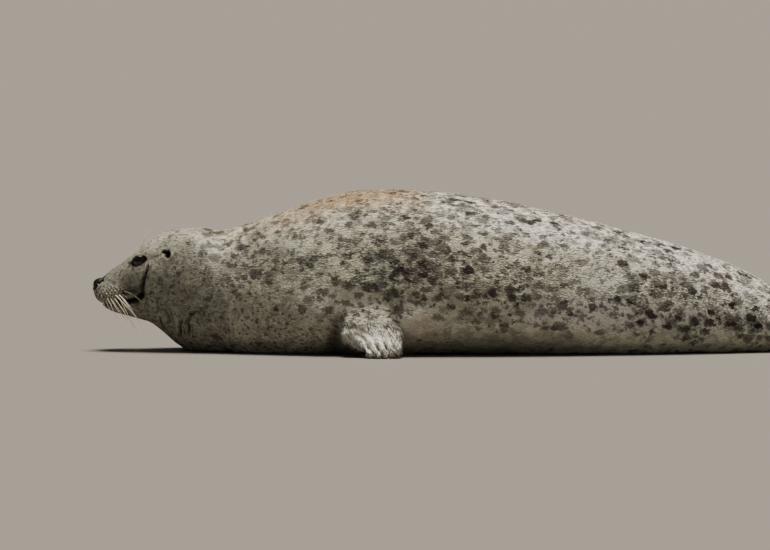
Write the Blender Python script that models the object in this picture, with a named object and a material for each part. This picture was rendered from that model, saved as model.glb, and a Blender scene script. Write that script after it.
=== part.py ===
"""Adult grey seal, life size, lying on its belly with the head held low and level.

The body is one long loft of rounded sections from the nose to the ankles.  It is parted by thin
upright cuts into head, neck, chest, belly and hindquarters.  Tail and flippers are lofts of their
own that are trimmed where they leave the body, and each claw sits in a bed cut into its toe.
Lengths are in metres.  +Z is up, the nose points along -X and the seal's left side faces -Y.
"""

import math

import bpy
import numpy as np
from mathutils import Vector

# --- Driving dimensions -----------------------------------------------------------------------
BODY_LENGTH = 1.800        # nose to the end of the rump, between the ankles
NOSE_ROUND = 0.018         # length over which the snout rounds off, seen from the side
NOSE_ROUND_ABOVE = 0.036   # and seen from above
RUMP_ROUND = 0.100         # length over which the rump rounds off
NOSE_HEIGHT = 0.159        # height of the tip of the snout above the floor
RUMP_HEIGHT = 0.055        # height of the middle of the rump's end
CUT = 0.0003               # gap between neighbouring pieces
PARTINGS = (0.235, 0.440, 0.900, 1.330)   # cuts behind head, neck, chest and belly

# Outline of the body from the side: (distance behind the nose, height above the floor).
BACK_LINE = (
    (0.000, 0.1810), (0.012, 0.1815), (0.024, 0.1850), (0.043, 0.2016), (0.068, 0.2185),
    (0.094, 0.2384), (0.119, 0.2574), (0.144, 0.2777), (0.170, 0.2942), (0.195, 0.3043),
    (0.230, 0.3105), (0.271, 0.3119), (0.322, 0.3081), (0.372, 0.3180), (0.423, 0.3335),
    (0.499, 0.3601), (0.560, 0.3840), (0.625, 0.4015), (0.702, 0.4093), (0.790, 0.4096),
    (0.879, 0.4025), (1.030, 0.3810), (1.233, 0.3360), (1.435, 0.2840), (1.537, 0.2511),
    (1.638, 0.2105), (1.706, 0.1725), (1.760, 0.1360), (1.800, 0.1060),
)
BELLY_LINE = (
    (0.000, 0.1330), (0.012, 0.1235), (0.028, 0.1090), (0.043, 0.1010), (0.068, 0.0920),
    (0.094, 0.0850), (0.119, 0.0780), (0.144, 0.0700), (0.165, 0.0560), (0.190, 0.0335),
    (0.215, 0.0130), (0.240, -0.0020), (0.290, -0.0110), (0.350, -0.0150), (0.700, -0.0150),
    (1.000, -0.0140), (1.200, -0.0170), (1.500, -0.0160), (1.680, -0.0090), (1.800, 0.0060),
)
# Half the width of the body, seen from above.
HALF_WIDTH = (
    (0.000, 0.0370), (0.015, 0.0410), (0.035, 0.0470), (0.060, 0.0530), (0.090, 0.0610),
    (0.115, 0.0715), (0.145, 0.0835), (0.180, 0.0950), (0.220, 0.1090), (0.262, 0.1240),
    (0.311, 0.1420), (0.360, 0.1600), (0.434, 0.1870), (0.507, 0.2110), (0.605, 0.2350),
    (0.728, 0.2510), (0.850, 0.2570), (1.000, 0.2530), (1.150, 0.2400), (1.291, 0.2200),
    (1.438, 0.1870), (1.585, 0.1450), (1.706, 0.1100), (1.800, 0.0880),
)
# How far up a section is widest, and how square it is above and below that.
WIDEST_AT = (
    (0.0, 0.42), (0.06, 0.40), (0.12, 0.46), (0.25, 0.42), (0.38, 0.38), (0.70, 0.39),
    (1.2, 0.39), (1.8, 0.45),
)
SQUARE_ABOVE = (
    (0.0, 2.20), (0.06, 2.05), (0.115, 2.45), (0.17, 2.30), (0.25, 2.15), (0.60, 2.02), (1.8, 2.10),
)
SQUARE_BELOW = (
    (0.0, 2.20), (0.12, 2.10), (0.22, 2.25), (0.30, 2.60), (0.45, 2.75), (0.9, 2.60),
    (1.2, 2.80), (1.6, 2.70), (1.8, 2.20),
)

# The line where the lips meet, from the front to the corner of the mouth.
MOUTH_LINE = (
    (0.000, 0.1200), (0.020, 0.1100), (0.045, 0.1050), (0.070, 0.1085), (0.095, 0.1180),
    (0.120, 0.1310),
)
MOUTH_END = 0.118
MOUTH_FADE = 0.025         # length over which the lips run out at the corner
LIP_DEPTH = 0.0030         # how deep the line between the lips lies, and half its width
LIP_HALF_WIDTH = 0.0055
JAW_NARROWER = 0.17        # share by which the lower jaw is narrower than the upper
JAW_SET_BACK = 0.013       # how far behind the upper lip the chin starts
CHIN_REACH = 0.022
JAW_STEP = 0.014           # height over which the upper jaw passes into the lower one

# Rounded forms of the head, alike on both sides: centre, reach along X, Y and Z, and rise.
HEAD_FORMS = {
    "whisker pad": ((0.042, 0.042, 0.140), (0.038, 0.030, 0.024), 0.0065),
    "nose pad": ((0.004, 0.012, 0.174), (0.014, 0.014, 0.010), 0.0030),
    "groove under the nose": ((0.000, 0.000, 0.140), (0.018, 0.006, 0.018), -0.0035),
    "bridge side": ((0.062, 0.034, 0.178), (0.032, 0.020, 0.020), -0.0015),
    "hollow before the cheek": ((0.092, 0.060, 0.158), (0.024, 0.030, 0.024), -0.0025),
    "brow": ((0.112, 0.036, 0.252), (0.022, 0.018, 0.012), 0.0035),
    "cheek": ((0.158, 0.088, 0.180), (0.042, 0.040, 0.046), 0.0060),
    "jaw muscle": ((0.150, 0.070, 0.105), (0.036, 0.040, 0.030), 0.0050),
    "nape": ((0.320, 0.000, 0.300), (0.045, 0.090, 0.060), -0.0020),
}

EYE_RADIUS = 0.0205
EYE_CENTRE = (0.1152, 0.0392, 0.2295)
EYE_SIDES = (18, 11)

# Flippers of the left side, which faces -Y, and the tail. A path runs from the root to the toe
# tips, as (share of its length, x, y, z). Across is the way from the first toe to the fifth. The
# hind flipper's sole faces in, and its lower edge rests on the floor.
FORE_FLIPPER = {
    "path": (
        (0.00, 0.690, -0.165, 0.160), (0.30, 0.694, -0.226, 0.128), (0.55, 0.696, -0.262, 0.088),
        (0.80, 0.708, -0.286, 0.046), (1.00, 0.740, -0.303, 0.021),
    ),
    "half_width": ((0.0, 0.056), (0.30, 0.065), (0.55, 0.070), (0.80, 0.063), (1.0, 0.057)),
    "half_thickness": ((0.0, 0.040), (0.30, 0.033), (0.55, 0.025), (0.80, 0.017), (1.0, 0.011)),
    "across": (0.995, -0.08, 0.02),
    "toe_lengths": (1.00, 1.04, 1.03, 1.00, 0.95),
    "rings": 11,
    "around": 20,
    "claw": {"length": 0.027, "radius": 0.0050, "sink": 0.012, "curl": 0.003, "way": (0.30, -0.55, -0.78)},
}
HIND_FLIPPER = {
    "path": (
        (0.00, 1.680, -0.046, 0.074), (0.35, 1.800, -0.060, 0.064), (0.60, 1.885, -0.066, 0.063),
        (1.00, 2.050, -0.080, 0.074),
    ),
    "half_width": ((0.0, 0.052), (0.35, 0.048), (0.55, 0.051), (0.80, 0.069), (1.0, 0.082)),
    "half_thickness": ((0.0, 0.040), (0.35, 0.034), (0.55, 0.022), (0.80, 0.012), (1.0, 0.008)),
    "across": (0.0, 0.36, 0.93),
    "toe_lengths": (1.05, 0.99, 0.96, 0.98, 1.03),
    "rings": 11,
    "around": 20,
    "claw": {"length": 0.020, "radius": 0.0034, "sink": 0.008, "curl": 0.003, "way": (1.0, -0.05, -0.02)},
}
TAIL = {
    "path": ((0.0, 1.720, 0.0, 0.112), (0.5, 1.805, 0.0, 0.100), (1.0, 1.885, 0.0, 0.086)),
    "half_width": ((0.0, 0.044), (0.5, 0.034), (0.85, 0.025), (1.0, 0.019)),
    "half_thickness": ((0.0, 0.024), (0.5, 0.018), (0.85, 0.012), (1.0, 0.009)),
    "across": (0.0, 1.0, 0.0),
    "toe_lengths": (0.80, 0.96, 1.00, 0.96, 0.80),   # it has no toes: these round off its end
    "rings": 8,
    "around": 16,
}

TOES = 5
TOE_PLACES = np.linspace(-0.80, 0.80, TOES)  # across a flipper, whose edges are at -1 and 1
EDGE_PLACE = 1.15          # just past the edge, where the web ends
EDGE_SHORTER = 0.86        # how far the web reaches there, as a share of the toe beside it
SPREAD_FROM = 0.5          # share of a flipper's length from which its toes differ in length
ROUND_FROM = 0.88          # share of its length from which its end rounds off
END_WIDTH = 0.78           # width and thickness of the very end, as shares
END_THICKNESS = 0.25
CLAW_PLACE = 0.97          # share of its toe's length at which a claw leaves it
CLAW_SPAN = 0.80           # how far apart the claws are, as a share of the toes' places
CLAW_FAN = 0.16            # how much they spread
CLAW_SIDES = 6
CLAW_RINGS = 3

# Rings along each length of the body and points round a ring.
HEAD_MESH = (24, 36)
NECK_MESH = (7, 32)
CHEST_MESH = (11, 32)
BELLY_MESH = (8, 32)
HINDQUARTERS_MESH = (13, 32)
END_RING = 0.0006          # distance from either end of the body to its last ring

COAT = ("seal_coat", (0.50, 0.48, 0.41), 0.75)
HORN = ("claw_horn", (0.07, 0.06, 0.05), 0.35)
EYE = ("eye", (0.01, 0.009, 0.008), 0.08)


# --- Curves and surfaces ----------------------------------------------------------------------
def smooth_line(keys, at):
    """Values at these places of the smooth curve through keys, rows of a place and its values."""
    keys = np.asarray(keys, float)
    places, values = keys[:, 0], keys[:, 1:]
    slopes = np.gradient(values, places, axis=0)
    at = np.clip(np.asarray(at, float), places[0], places[-1])
    left = np.clip(np.searchsorted(places, at, side="right") - 1, 0, len(places) - 2)
    span = (places[left + 1] - places[left])[..., None]
    t = (at - places[left])[..., None] / span
    found = (
        values[left] * (1 + 2 * t) * (1 - t) ** 2
        + slopes[left] * span * t * (1 - t) ** 2
        + values[left + 1] * t**2 * (3 - 2 * t)
        + slopes[left + 1] * span * t**2 * (t - 1)
    )
    return found[..., 0] if found.shape[-1] == 1 else found


def ease(t):
    """0 below 0, 1 above 1, and a smooth step between."""
    t = np.clip(t, 0.0, 1.0)
    return t * t * (3 - 2 * t)


def body_section(x, angle):
    """Points of the body at distance x behind the nose. Angle 0 is the seal's right, pi / 2 its back."""
    nose = np.clip(1 - x / NOSE_ROUND, 0, 1)
    snout = np.clip(1 - x / NOSE_ROUND_ABOVE, 0, 1)
    rump = np.clip(1 - (BODY_LENGTH - x) / RUMP_ROUND, 0, 1)
    full = np.sqrt(1 - nose**2.4) * np.sqrt(1 - rump**2.2)
    broad = np.sqrt(1 - snout**2.4) * np.sqrt(1 - rump**2.2)
    centre = np.where(x < BODY_LENGTH / 2, NOSE_HEIGHT, RUMP_HEIGHT)
    top = centre + (smooth_line(BACK_LINE, x) - centre) * full
    bottom = centre + (smooth_line(BELLY_LINE, x) - centre) * full
    half = smooth_line(HALF_WIDTH, x) * broad
    widest = bottom + (top - bottom) * smooth_line(WIDEST_AT, x)
    up, along = np.sin(angle), np.cos(angle)
    power = 2 / np.where(up > 0, smooth_line(SQUARE_ABOVE, x), smooth_line(SQUARE_BELOW, x))
    height = np.where(up > 0, top - widest, widest - bottom)
    y = half * np.sign(along) * np.abs(along) ** power
    z = widest + height * np.sign(up) * np.abs(up) ** power
    return np.stack([np.broadcast_to(x, y.shape), y, np.maximum(z, 0.0)], axis=-1)


def evened(rings, count):
    """Each closed ring of points drawn again with this many points, equally far apart, from its first."""
    closed = np.concatenate([rings, rings[:, :1]], axis=1)
    steps = np.linalg.norm(np.diff(closed, axis=1), axis=2)
    made = []
    for ring, step in zip(closed, steps):
        along = np.concatenate([[0.0], np.cumsum(step)])
        at = np.linspace(0.0, along[-1], count, endpoint=False)
        made.append(np.stack([np.interp(at, along, ring[:, k]) for k in range(3)], axis=1))
    return np.array(made)


def body_rings(stations, around):
    """The body's rings at these distances behind the nose, with the head's forms on them."""
    angle = np.linspace(0, 2 * math.pi, 8 * around, endpoint=False) + math.pi / 2
    rings = evened(body_section(stations[:, None], angle[None, :]), around)
    return head_shaped(rings)


def ring_normals(rings):
    """Unit normals of a grid of rings, pointing out."""
    round_it = np.roll(rings, -1, axis=1) - np.roll(rings, 1, axis=1)
    along = np.gradient(rings, axis=0)
    normals = np.cross(round_it, along)
    return normals / np.maximum(np.linalg.norm(normals, axis=2, keepdims=True), 1e-12)


def head_shaped(rings):
    """The rings with lips, whisker pads, cheeks and the other forms of the head."""
    shaped, normals = rings.copy(), ring_normals(rings)
    mirrored = shaped * np.array([1.0, 0.0, 1.0])
    mirrored[..., 1] = np.abs(shaped[..., 1])
    for centre, reach, rise in HEAD_FORMS.values():
        away = (((mirrored - np.array(centre)) / np.array(reach)) ** 2).sum(axis=2)
        shaped += normals * (rise * np.exp(-away))[..., None]
    x, z = mirrored[..., 0], mirrored[..., 2]
    below = smooth_line(MOUTH_LINE, np.minimum(x, MOUTH_END)) - z
    mouth = 1 - ease((x - MOUTH_END + MOUTH_FADE) / MOUTH_FADE)
    jaw = mouth * ease(below / JAW_STEP)
    shaped[..., 1] *= 1 - JAW_NARROWER * jaw
    shaped[..., 0] += JAW_SET_BACK * jaw * np.exp(-((x / CHIN_REACH) ** 2))
    shaped -= normals * (LIP_DEPTH * mouth * np.exp(-((below / LIP_HALF_WIDTH) ** 2)))[..., None]
    shaped[..., 2] = np.maximum(shaped[..., 2], 0.0)
    return shaped


def flipper_rings(shape):
    """Rings of a flipper from its root to its toes. Toes of unlike length shape its end."""
    across = np.array(shape["across"])
    across /= np.linalg.norm(across)
    share = 1 - (1 - np.linspace(0, 1, shape["rings"])) ** 1.25
    angle = np.linspace(0, 2 * math.pi, shape["around"], endpoint=False)
    place = np.sign(np.cos(angle)) * np.abs(np.cos(angle)) ** 0.9
    side = np.sign(np.sin(angle)) * np.abs(np.sin(angle)) ** 0.8
    toes = shape["toe_lengths"]
    edges = [(-EDGE_PLACE, toes[0] * EDGE_SHORTER), (EDGE_PLACE, toes[-1] * EDGE_SHORTER)]
    reach = smooth_line([edges[0], *zip(TOE_PLACES, toes), edges[1]], place)
    spread = ease((share - SPREAD_FROM) / (1 - SPREAD_FROM))[:, None]
    lengthened = share[:, None] * (1 + (reach[None, :] - 1) * spread)
    rounded = np.sqrt(1 - np.clip((share - ROUND_FROM) / (1 - ROUND_FROM), 0, 1) ** 2.5)[:, None]
    centre = path_point(shape["path"], lengthened)
    tangent = path_point(shape["path"], share + 0.02) - path_point(shape["path"], share - 0.02)
    out = np.cross(tangent, across)
    out = (out / np.linalg.norm(out, axis=1, keepdims=True))[:, None, :]
    wide = smooth_line(shape["half_width"], share)[:, None] * (END_WIDTH + (1 - END_WIDTH) * rounded)
    thick = smooth_line(shape["half_thickness"], share)[:, None] * np.maximum(rounded, END_THICKNESS)
    rings = centre + across * (wide * place)[..., None] + out * (thick * side)[..., None]
    rings[..., 2] = np.maximum(rings[..., 2], 0.0)
    return rings


def grown(rings, by):
    """The rings moved out by this much all round, and the last ring moved on along the shape as well."""
    normals = ring_normals(rings)
    spokes = rings - rings.mean(axis=1, keepdims=True)
    if (normals * spokes).sum() < 0:
        normals = -normals
    larger = rings + normals * by
    ahead = rings[-1].mean(axis=0) - rings[-2].mean(axis=0)
    larger[-1] += ahead / np.linalg.norm(ahead) * by
    return larger


def path_point(path, share):
    """Points along a flipper's middle line, which runs straight on past its two ends."""
    share = np.asarray(share, float)
    keys = np.asarray(path, float)
    inside = np.clip(share, 0, 1)
    point = smooth_line(keys, inside)
    first = (keys[1, 1:] - keys[0, 1:]) / (keys[1, 0] - keys[0, 0])
    last = (keys[-1, 1:] - keys[-2, 1:]) / (keys[-1, 0] - keys[-2, 0])
    beyond = (share - inside)[..., None]
    return point + np.where(beyond > 0, last, first) * beyond


# --- Blender objects --------------------------------------------------------------------------
def clear_scene():
    for obj in list(bpy.data.objects):
        bpy.data.objects.remove(obj, do_unlink=True)


def new_collection(name):
    collection = bpy.data.collections.new(name)
    bpy.context.scene.collection.children.link(collection)
    return collection


def material(name, colour, roughness):
    found = bpy.data.materials.get(name)
    if found:
        return found
    made = bpy.data.materials.new(name)
    made.use_nodes = True
    shader = made.node_tree.nodes["Principled BSDF"]
    shader.inputs["Base Color"].default_value = (*colour, 1.0)
    shader.inputs["Roughness"].default_value = roughness
    shader.inputs["Metallic"].default_value = 0.0
    return made


def lofted(name, rings, collection, finish, mirrored=False):
    """One closed object through the rings, with a fan of faces over each end."""
    rings = rings * np.array([1.0, -1.0, 1.0]) if mirrored else rings
    count, around = rings.shape[:2]
    ends = rings[[0, -1]].mean(axis=1)
    points = np.concatenate([rings.reshape(-1, 3), ends])
    first, last = count * around, count * around + 1
    faces = []
    for i in range(count - 1):
        for j in range(around):
            k = (j + 1) % around
            faces.append((i * around + j, i * around + k, (i + 1) * around + k, (i + 1) * around + j))
    for j in range(around):
        k = (j + 1) % around
        faces.append((first, k, j))
        faces.append((last, (count - 1) * around + j, (count - 1) * around + k))
    if not outward(points, faces):
        faces = [face[::-1] for face in faces]
    mesh = bpy.data.meshes.new(name)
    mesh.from_pydata(points.tolist(), [], faces)
    mesh.shade_smooth()
    obj = bpy.data.objects.new(name, mesh)
    obj.data.materials.append(material(*finish))
    collection.objects.link(obj)
    return obj


def outward(points, faces):
    """Whether the faces of a closed shape point out, by the sign of the volume that they hold."""
    volume = 0.0
    for face in faces:
        corners = points[list(face)]
        for a, b in zip(corners[1:-1], corners[2:]):
            volume += float(np.dot(corners[0], np.cross(a, b)))
    return volume > 0


def as_cutter(obj):
    obj.hide_render = True
    obj.display_type = "WIRE"
    return obj


def carve(obj, cutter):
    trim = obj.modifiers.new("trim by " + cutter.name, "BOOLEAN")
    trim.operation = "DIFFERENCE"
    trim.solver = "EXACT"
    trim.object = cutter


def eyeball(name, radius, side, collection, finish):
    bpy.ops.mesh.primitive_uv_sphere_add(segments=EYE_SIDES[0], ring_count=EYE_SIDES[1], radius=radius)
    obj = bpy.context.object
    obj.name = name
    obj.location = (EYE_CENTRE[0], side * EYE_CENTRE[1], EYE_CENTRE[2])
    obj.data.shade_smooth()
    obj.data.materials.append(material(*finish))
    for old in list(obj.users_collection):
        old.objects.unlink(obj)
    collection.objects.link(obj)
    return obj


def claw_rings(shape, toe):
    """Rings of a curved, tapering claw of a flipper, from inside the toe to its point."""
    size = shape["claw"]
    across = np.array(shape["across"]) / np.linalg.norm(shape["across"])
    tip = path_point(shape["path"], CLAW_PLACE * shape["toe_lengths"][toe])
    root = tip + across * shape["half_width"][-1][1] * CLAW_SPAN * TOE_PLACES[toe]
    forward = np.array(size["way"]) + across * CLAW_FAN * TOE_PLACES[toe]
    forward /= np.linalg.norm(forward)
    down = np.cross(across, forward)
    down = down / np.linalg.norm(down) * (-1 if down[2] > 0 else 1)
    share = np.linspace(0, 1, CLAW_RINGS + 1)
    angle = np.linspace(0, 2 * math.pi, CLAW_SIDES, endpoint=False)
    ahead = share * (size["length"] + size["sink"]) - size["sink"]
    middle = root + np.outer(ahead, forward) + np.outer(size["curl"] * share**2, down)
    radius = size["radius"] * np.sqrt(1 - (0.97 * share) ** 1.6)
    flat, tall = np.cos(angle) * 0.8, np.sin(angle)
    ring = flat[None, :, None] * np.cross(forward, down) + tall[None, :, None] * down
    rings = middle[:, None, :] + ring * radius[:, None, None]
    rings[..., 2] = np.maximum(rings[..., 2], 0.0)
    return rings


# --- The seal ---------------------------------------------------------------------------------
def head_stations():
    """Distances behind the nose of the head's rings, close together at the snout."""
    share = np.linspace(0, 1, HEAD_MESH[0])
    return END_RING + (PARTINGS[0] - CUT / 2 - END_RING) * (0.42 * share**2 + 0.58 * share)


def between(start, end, count):
    return np.linspace(start + CUT / 2, end - CUT / 2, count)


def hind_stations():
    """Distances behind the nose of the hindquarters' rings, close together at the rump."""
    bunched = 1 - (1 - np.linspace(0, 1, HINDQUARTERS_MESH[0])) ** 1.7
    start = PARTINGS[3] + CUT / 2
    return start + (BODY_LENGTH - END_RING - start) * bunched


def body_lengths():
    """Stations and points round a ring of each length of the body."""
    head_cut, neck_cut, chest_cut, belly_cut = PARTINGS
    return {
        "head": (head_stations(), HEAD_MESH[1]),
        "neck": (between(head_cut, neck_cut, NECK_MESH[0]), NECK_MESH[1]),
        "chest": (between(neck_cut, chest_cut, CHEST_MESH[0]), CHEST_MESH[1]),
        "belly": (between(chest_cut, belly_cut, BELLY_MESH[0]), BELLY_MESH[1]),
        "hindquarters": (hind_stations(), HINDQUARTERS_MESH[1]),
    }


def build_body(parts):
    for name, (stations, around) in body_lengths().items():
        lofted(name, body_rings(stations, around), parts, COAT)


def body_cutter(cutters):
    """The body behind the neck, a gap's width larger, that flippers and tail are trimmed by."""
    lengths = body_lengths()
    stations = np.concatenate([lengths[name][0] for name in ("chest", "belly", "hindquarters")])
    rings = grown(body_rings(stations, lengths["chest"][1]), 2 * CUT)
    under = rings[..., 2] < 2 * CUT
    rings[..., 2] = np.where(under, -0.01, rings[..., 2])
    return as_cutter(lofted("body_cutter", rings, cutters, COAT))


def build_eyes(parts, cutters):
    head = bpy.data.objects["head"]
    for side, word in ((-1, "left"), (1, "right")):
        eyeball("eye_" + word, EYE_RADIUS, side, parts, EYE)
        socket = as_cutter(eyeball("socket_" + word, EYE_RADIUS + CUT, side, cutters, EYE))
        carve(head, socket)


def build_flipper(kind, shape, side, neighbours, parts, cutters):
    """One flipper with its claws. side is -1 on the seal's left."""
    word = "left" if side < 0 else "right"
    flipper = lofted(f"{kind}_flipper_{word}", flipper_rings(shape), parts, COAT, side > 0)
    for neighbour in neighbours:
        carve(flipper, neighbour)
    for toe in range(TOES):
        name = f"{kind}_claw_{word}_{toe + 1}"
        rings = claw_rings(shape, toe)
        lofted(name, rings, parts, HORN, side > 0)
        bed = grown(rings, 2.2 * CUT)
        bed[0] += (rings[0] - rings[1]).mean(axis=0) * 2.2 * CUT / shape["claw"]["sink"]
        carve(flipper, as_cutter(lofted(name + "_bed", bed, cutters, HORN, side > 0)))


def build_tail(body, parts, cutters):
    """The tail, and the room that it takes between the hind flippers."""
    rings = flipper_rings(TAIL)
    carve(lofted("tail", rings, parts, COAT), body)
    return as_cutter(lofted("tail_cutter", grown(rings, 2 * CUT), cutters, COAT))


def centre_on_origin(parts):
    """Moves everything along X, so that the origin is under the middle of the whole seal."""
    bpy.context.view_layer.update()
    graph = bpy.context.evaluated_depsgraph_get()
    ends = []
    for obj in parts.objects:
        shape = obj.evaluated_get(graph)
        ends += [(shape.matrix_world @ Vector(corner)).x for corner in shape.bound_box]
    middle = (min(ends) + max(ends)) / 2
    for obj in bpy.data.objects:
        obj.location.x -= middle
    print(f"nose at {-middle:.4f}, length {max(ends) - min(ends):.4f}")


def main():
    clear_scene()
    parts = new_collection("grey_seal")
    cutters = new_collection("cutters")
    build_body(parts)
    build_eyes(parts, cutters)
    body = body_cutter(cutters)
    tail = build_tail(body, parts, cutters)
    for side in (-1, 1):
        build_flipper("fore", FORE_FLIPPER, side, (body,), parts, cutters)
        build_flipper("hind", HIND_FLIPPER, side, (body, tail), parts, cutters)
    centre_on_origin(parts)


main()
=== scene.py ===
import math
from functools import partial

import bpy
import numpy as np
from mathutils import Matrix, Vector
from mathutils.bvhtree import BVHTree


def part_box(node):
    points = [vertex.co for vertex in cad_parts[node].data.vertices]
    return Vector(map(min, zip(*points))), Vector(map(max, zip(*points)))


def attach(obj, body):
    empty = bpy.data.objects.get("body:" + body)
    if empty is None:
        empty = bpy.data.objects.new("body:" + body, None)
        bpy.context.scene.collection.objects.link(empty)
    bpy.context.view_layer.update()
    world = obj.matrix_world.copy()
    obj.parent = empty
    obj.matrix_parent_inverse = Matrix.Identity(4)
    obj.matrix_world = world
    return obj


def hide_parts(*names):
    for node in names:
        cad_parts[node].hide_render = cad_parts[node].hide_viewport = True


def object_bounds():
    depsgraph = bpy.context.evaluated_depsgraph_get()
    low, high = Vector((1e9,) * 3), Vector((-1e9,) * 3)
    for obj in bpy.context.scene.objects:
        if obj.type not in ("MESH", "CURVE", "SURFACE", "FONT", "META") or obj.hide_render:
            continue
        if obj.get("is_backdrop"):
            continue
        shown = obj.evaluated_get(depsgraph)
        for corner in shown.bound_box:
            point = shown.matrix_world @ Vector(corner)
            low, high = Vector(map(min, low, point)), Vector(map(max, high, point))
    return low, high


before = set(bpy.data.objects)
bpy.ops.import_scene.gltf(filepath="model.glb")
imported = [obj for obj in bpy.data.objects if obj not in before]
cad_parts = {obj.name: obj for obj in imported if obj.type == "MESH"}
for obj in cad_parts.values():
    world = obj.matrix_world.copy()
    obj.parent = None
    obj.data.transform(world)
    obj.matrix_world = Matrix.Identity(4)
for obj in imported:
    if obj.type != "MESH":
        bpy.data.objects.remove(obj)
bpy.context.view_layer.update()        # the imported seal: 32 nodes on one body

# All lengths are in metres. x runs back from the tip of the nose, y is 0 on the midline and
# z is 0 on the floor. The seal's left side faces -y.
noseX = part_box("neck")[0].x - 0.23515     # the frame's X of the nose tip

print("stage: shared curves and mesh helpers")


# 0 below 0, 1 above 1, and 3t^2 - 2t^3 between
def ease(t):
    t = np.clip(t, 0.0, 1.0)
    return t * t * (3 - 2 * t)


# a bell: e to the minus (distance / width) squared
def bell(distance, width):
    return np.exp(-((distance / width) ** 2))


# the smooth curve through keys (place, values...): cubic pieces that share the slope at each key
def smoothLine(keys, at):
    keys = np.asarray(keys, float)
    places, values = keys[:, 0], keys[:, 1:]
    slopes = np.gradient(values, places, axis=0)
    at = np.clip(np.asarray(at, float), places[0], places[-1])
    left = np.clip(np.searchsorted(places, at, side="right") - 1, 0, len(places) - 2)
    span = (places[left + 1] - places[left])[..., None]
    t = (at - places[left])[..., None] / span
    found = (values[left] * (1 + 2 * t) * (1 - t) ** 2 + slopes[left] * span * t * (1 - t) ** 2
             + values[left + 1] * t**2 * (3 - 2 * t) + slopes[left + 1] * span * t**2 * (t - 1))
    return found[..., 0] if found.shape[-1] == 1 else found


# the size of v to a power, with the sign of v
def signedPower(v, power):
    return np.sign(v) * np.abs(v) ** power


# turns a shape of the seal's right to the side given: 1 keeps it, -1 mirrors it in the midline
def toSide(side):
    return np.array([1.0, side, 1.0])


# how near points are to a place, as e to the minus (distance / reach) squared in x, y and z
def within(points, centre, reach):
    return np.exp(-(((points - np.array(centre)) / np.array(reach)) ** 2).sum(axis=-1))


# a vector, or each row of an array, brought to length 1
def unit(v):
    v = np.asarray(v, float)
    return v / np.maximum(np.linalg.norm(v, axis=-1, keepdims=True), 1e-12)


# places from low to high whose spacing follows the keys (place, spacing)
def spacedPlaces(low, high, spacing):
    fine = np.linspace(low, high, 20001)
    run = np.concatenate([[0.0], np.cumsum(np.diff(fine) / smoothLine(spacing, fine)[1:])])
    return np.interp(np.linspace(0, run[-1], int(round(run[-1])) + 1), run, fine)


# slow waves over space: the mean of a few sines whose directions and phases come from a seed
def wander(points, wavelength, seed):
    random = np.random.default_rng(seed)
    ways = unit(random.normal(size=(7, 3))) * random.uniform(0.7, 1.5, (7, 1))
    phases = random.uniform(0, 2 * math.pi, 7)
    return np.sin(points @ ways.T * (2 * math.pi / wavelength) + phases).mean(axis=-1) * 1.9


# unit normals of a grid of closed rings: the cross product of the ways round and along
def ringNormals(rings):
    roundIt = np.roll(rings, -1, axis=1) - np.roll(rings, 1, axis=1)
    return unit(np.cross(roundIt, np.gradient(rings, axis=0)))


# distance of points (u, v) from a flat curve through keys (share, u, v), and the share of the nearest place
def curveDistance(u, v, keys):
    shares = np.linspace(0, 1, 61)
    line = smoothLine(keys, shares)
    best, where = np.full(u.shape, 1e9), np.zeros(u.shape)
    for k in range(60):
        a, b = line[k], line[k + 1]
        step = b - a
        t = np.clip(((u - a[0]) * step[0] + (v - a[1]) * step[1]) / (step @ step), 0, 1)
        away = np.hypot(u - a[0] - t * step[0], v - a[1] - t * step[1])
        nearer = away < best
        best = np.where(nearer, away, best)
        where = np.where(nearer, (k + t) / 60, where)
    return best, where


# twice the signed volume that the faces hold, used for its sign
def volumeSign(points, quads, fans):
    total = 0.0
    for corners in (quads[:, [0, 1, 2]], quads[:, [0, 2, 3]], fans):
        a, b, c = points[corners[:, 0]], points[corners[:, 1]], points[corners[:, 2]]
        total += np.einsum("ij,ij->", a, np.cross(b, c))
    return total


# quads between rings of points, each ring closed; a hoop is closed along its length as well
def ringQuads(rows, cols, hoop=False):
    i, j = np.meshgrid(np.arange(rows if hoop else rows - 1), np.arange(cols), indexing="ij")
    i, j = i.ravel(), j.ravel()
    k, m = (j + 1) % cols, (i + 1) % rows
    return np.stack([i * cols + j, i * cols + k, m * cols + k, m * cols + j], axis=1)


# points, quads and fans of a closed shell through rings (rows, round, 3), and -1 where they had to turn over
def closedShell(rings):
    rows, cols = rings.shape[:2]
    points = np.concatenate([rings.reshape(-1, 3), rings[[0, -1]].mean(axis=1)])
    j = np.arange(cols)
    k, last = (j + 1) % cols, (rows - 1) * cols
    fans = np.concatenate([np.stack([np.full(cols, rows * cols), k, j], axis=1),
                           np.stack([np.full(cols, rows * cols + 1), last + j, last + k], axis=1)])
    quads = ringQuads(rows, cols)
    turn = -1 if volumeSign(points, quads, fans) < 0 else 1
    return points, quads[:, ::turn], fans[:, ::turn], turn


def linked(name, data):
    made = bpy.data.objects.new(name, data)
    bpy.context.scene.collection.objects.link(made)
    return made


def newPiece(name, points, faces):
    mesh = bpy.data.meshes.new(name)
    mesh.from_pydata(points.tolist(), [], faces)
    mesh.shade_smooth()
    return linked(name, mesh)


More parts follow.
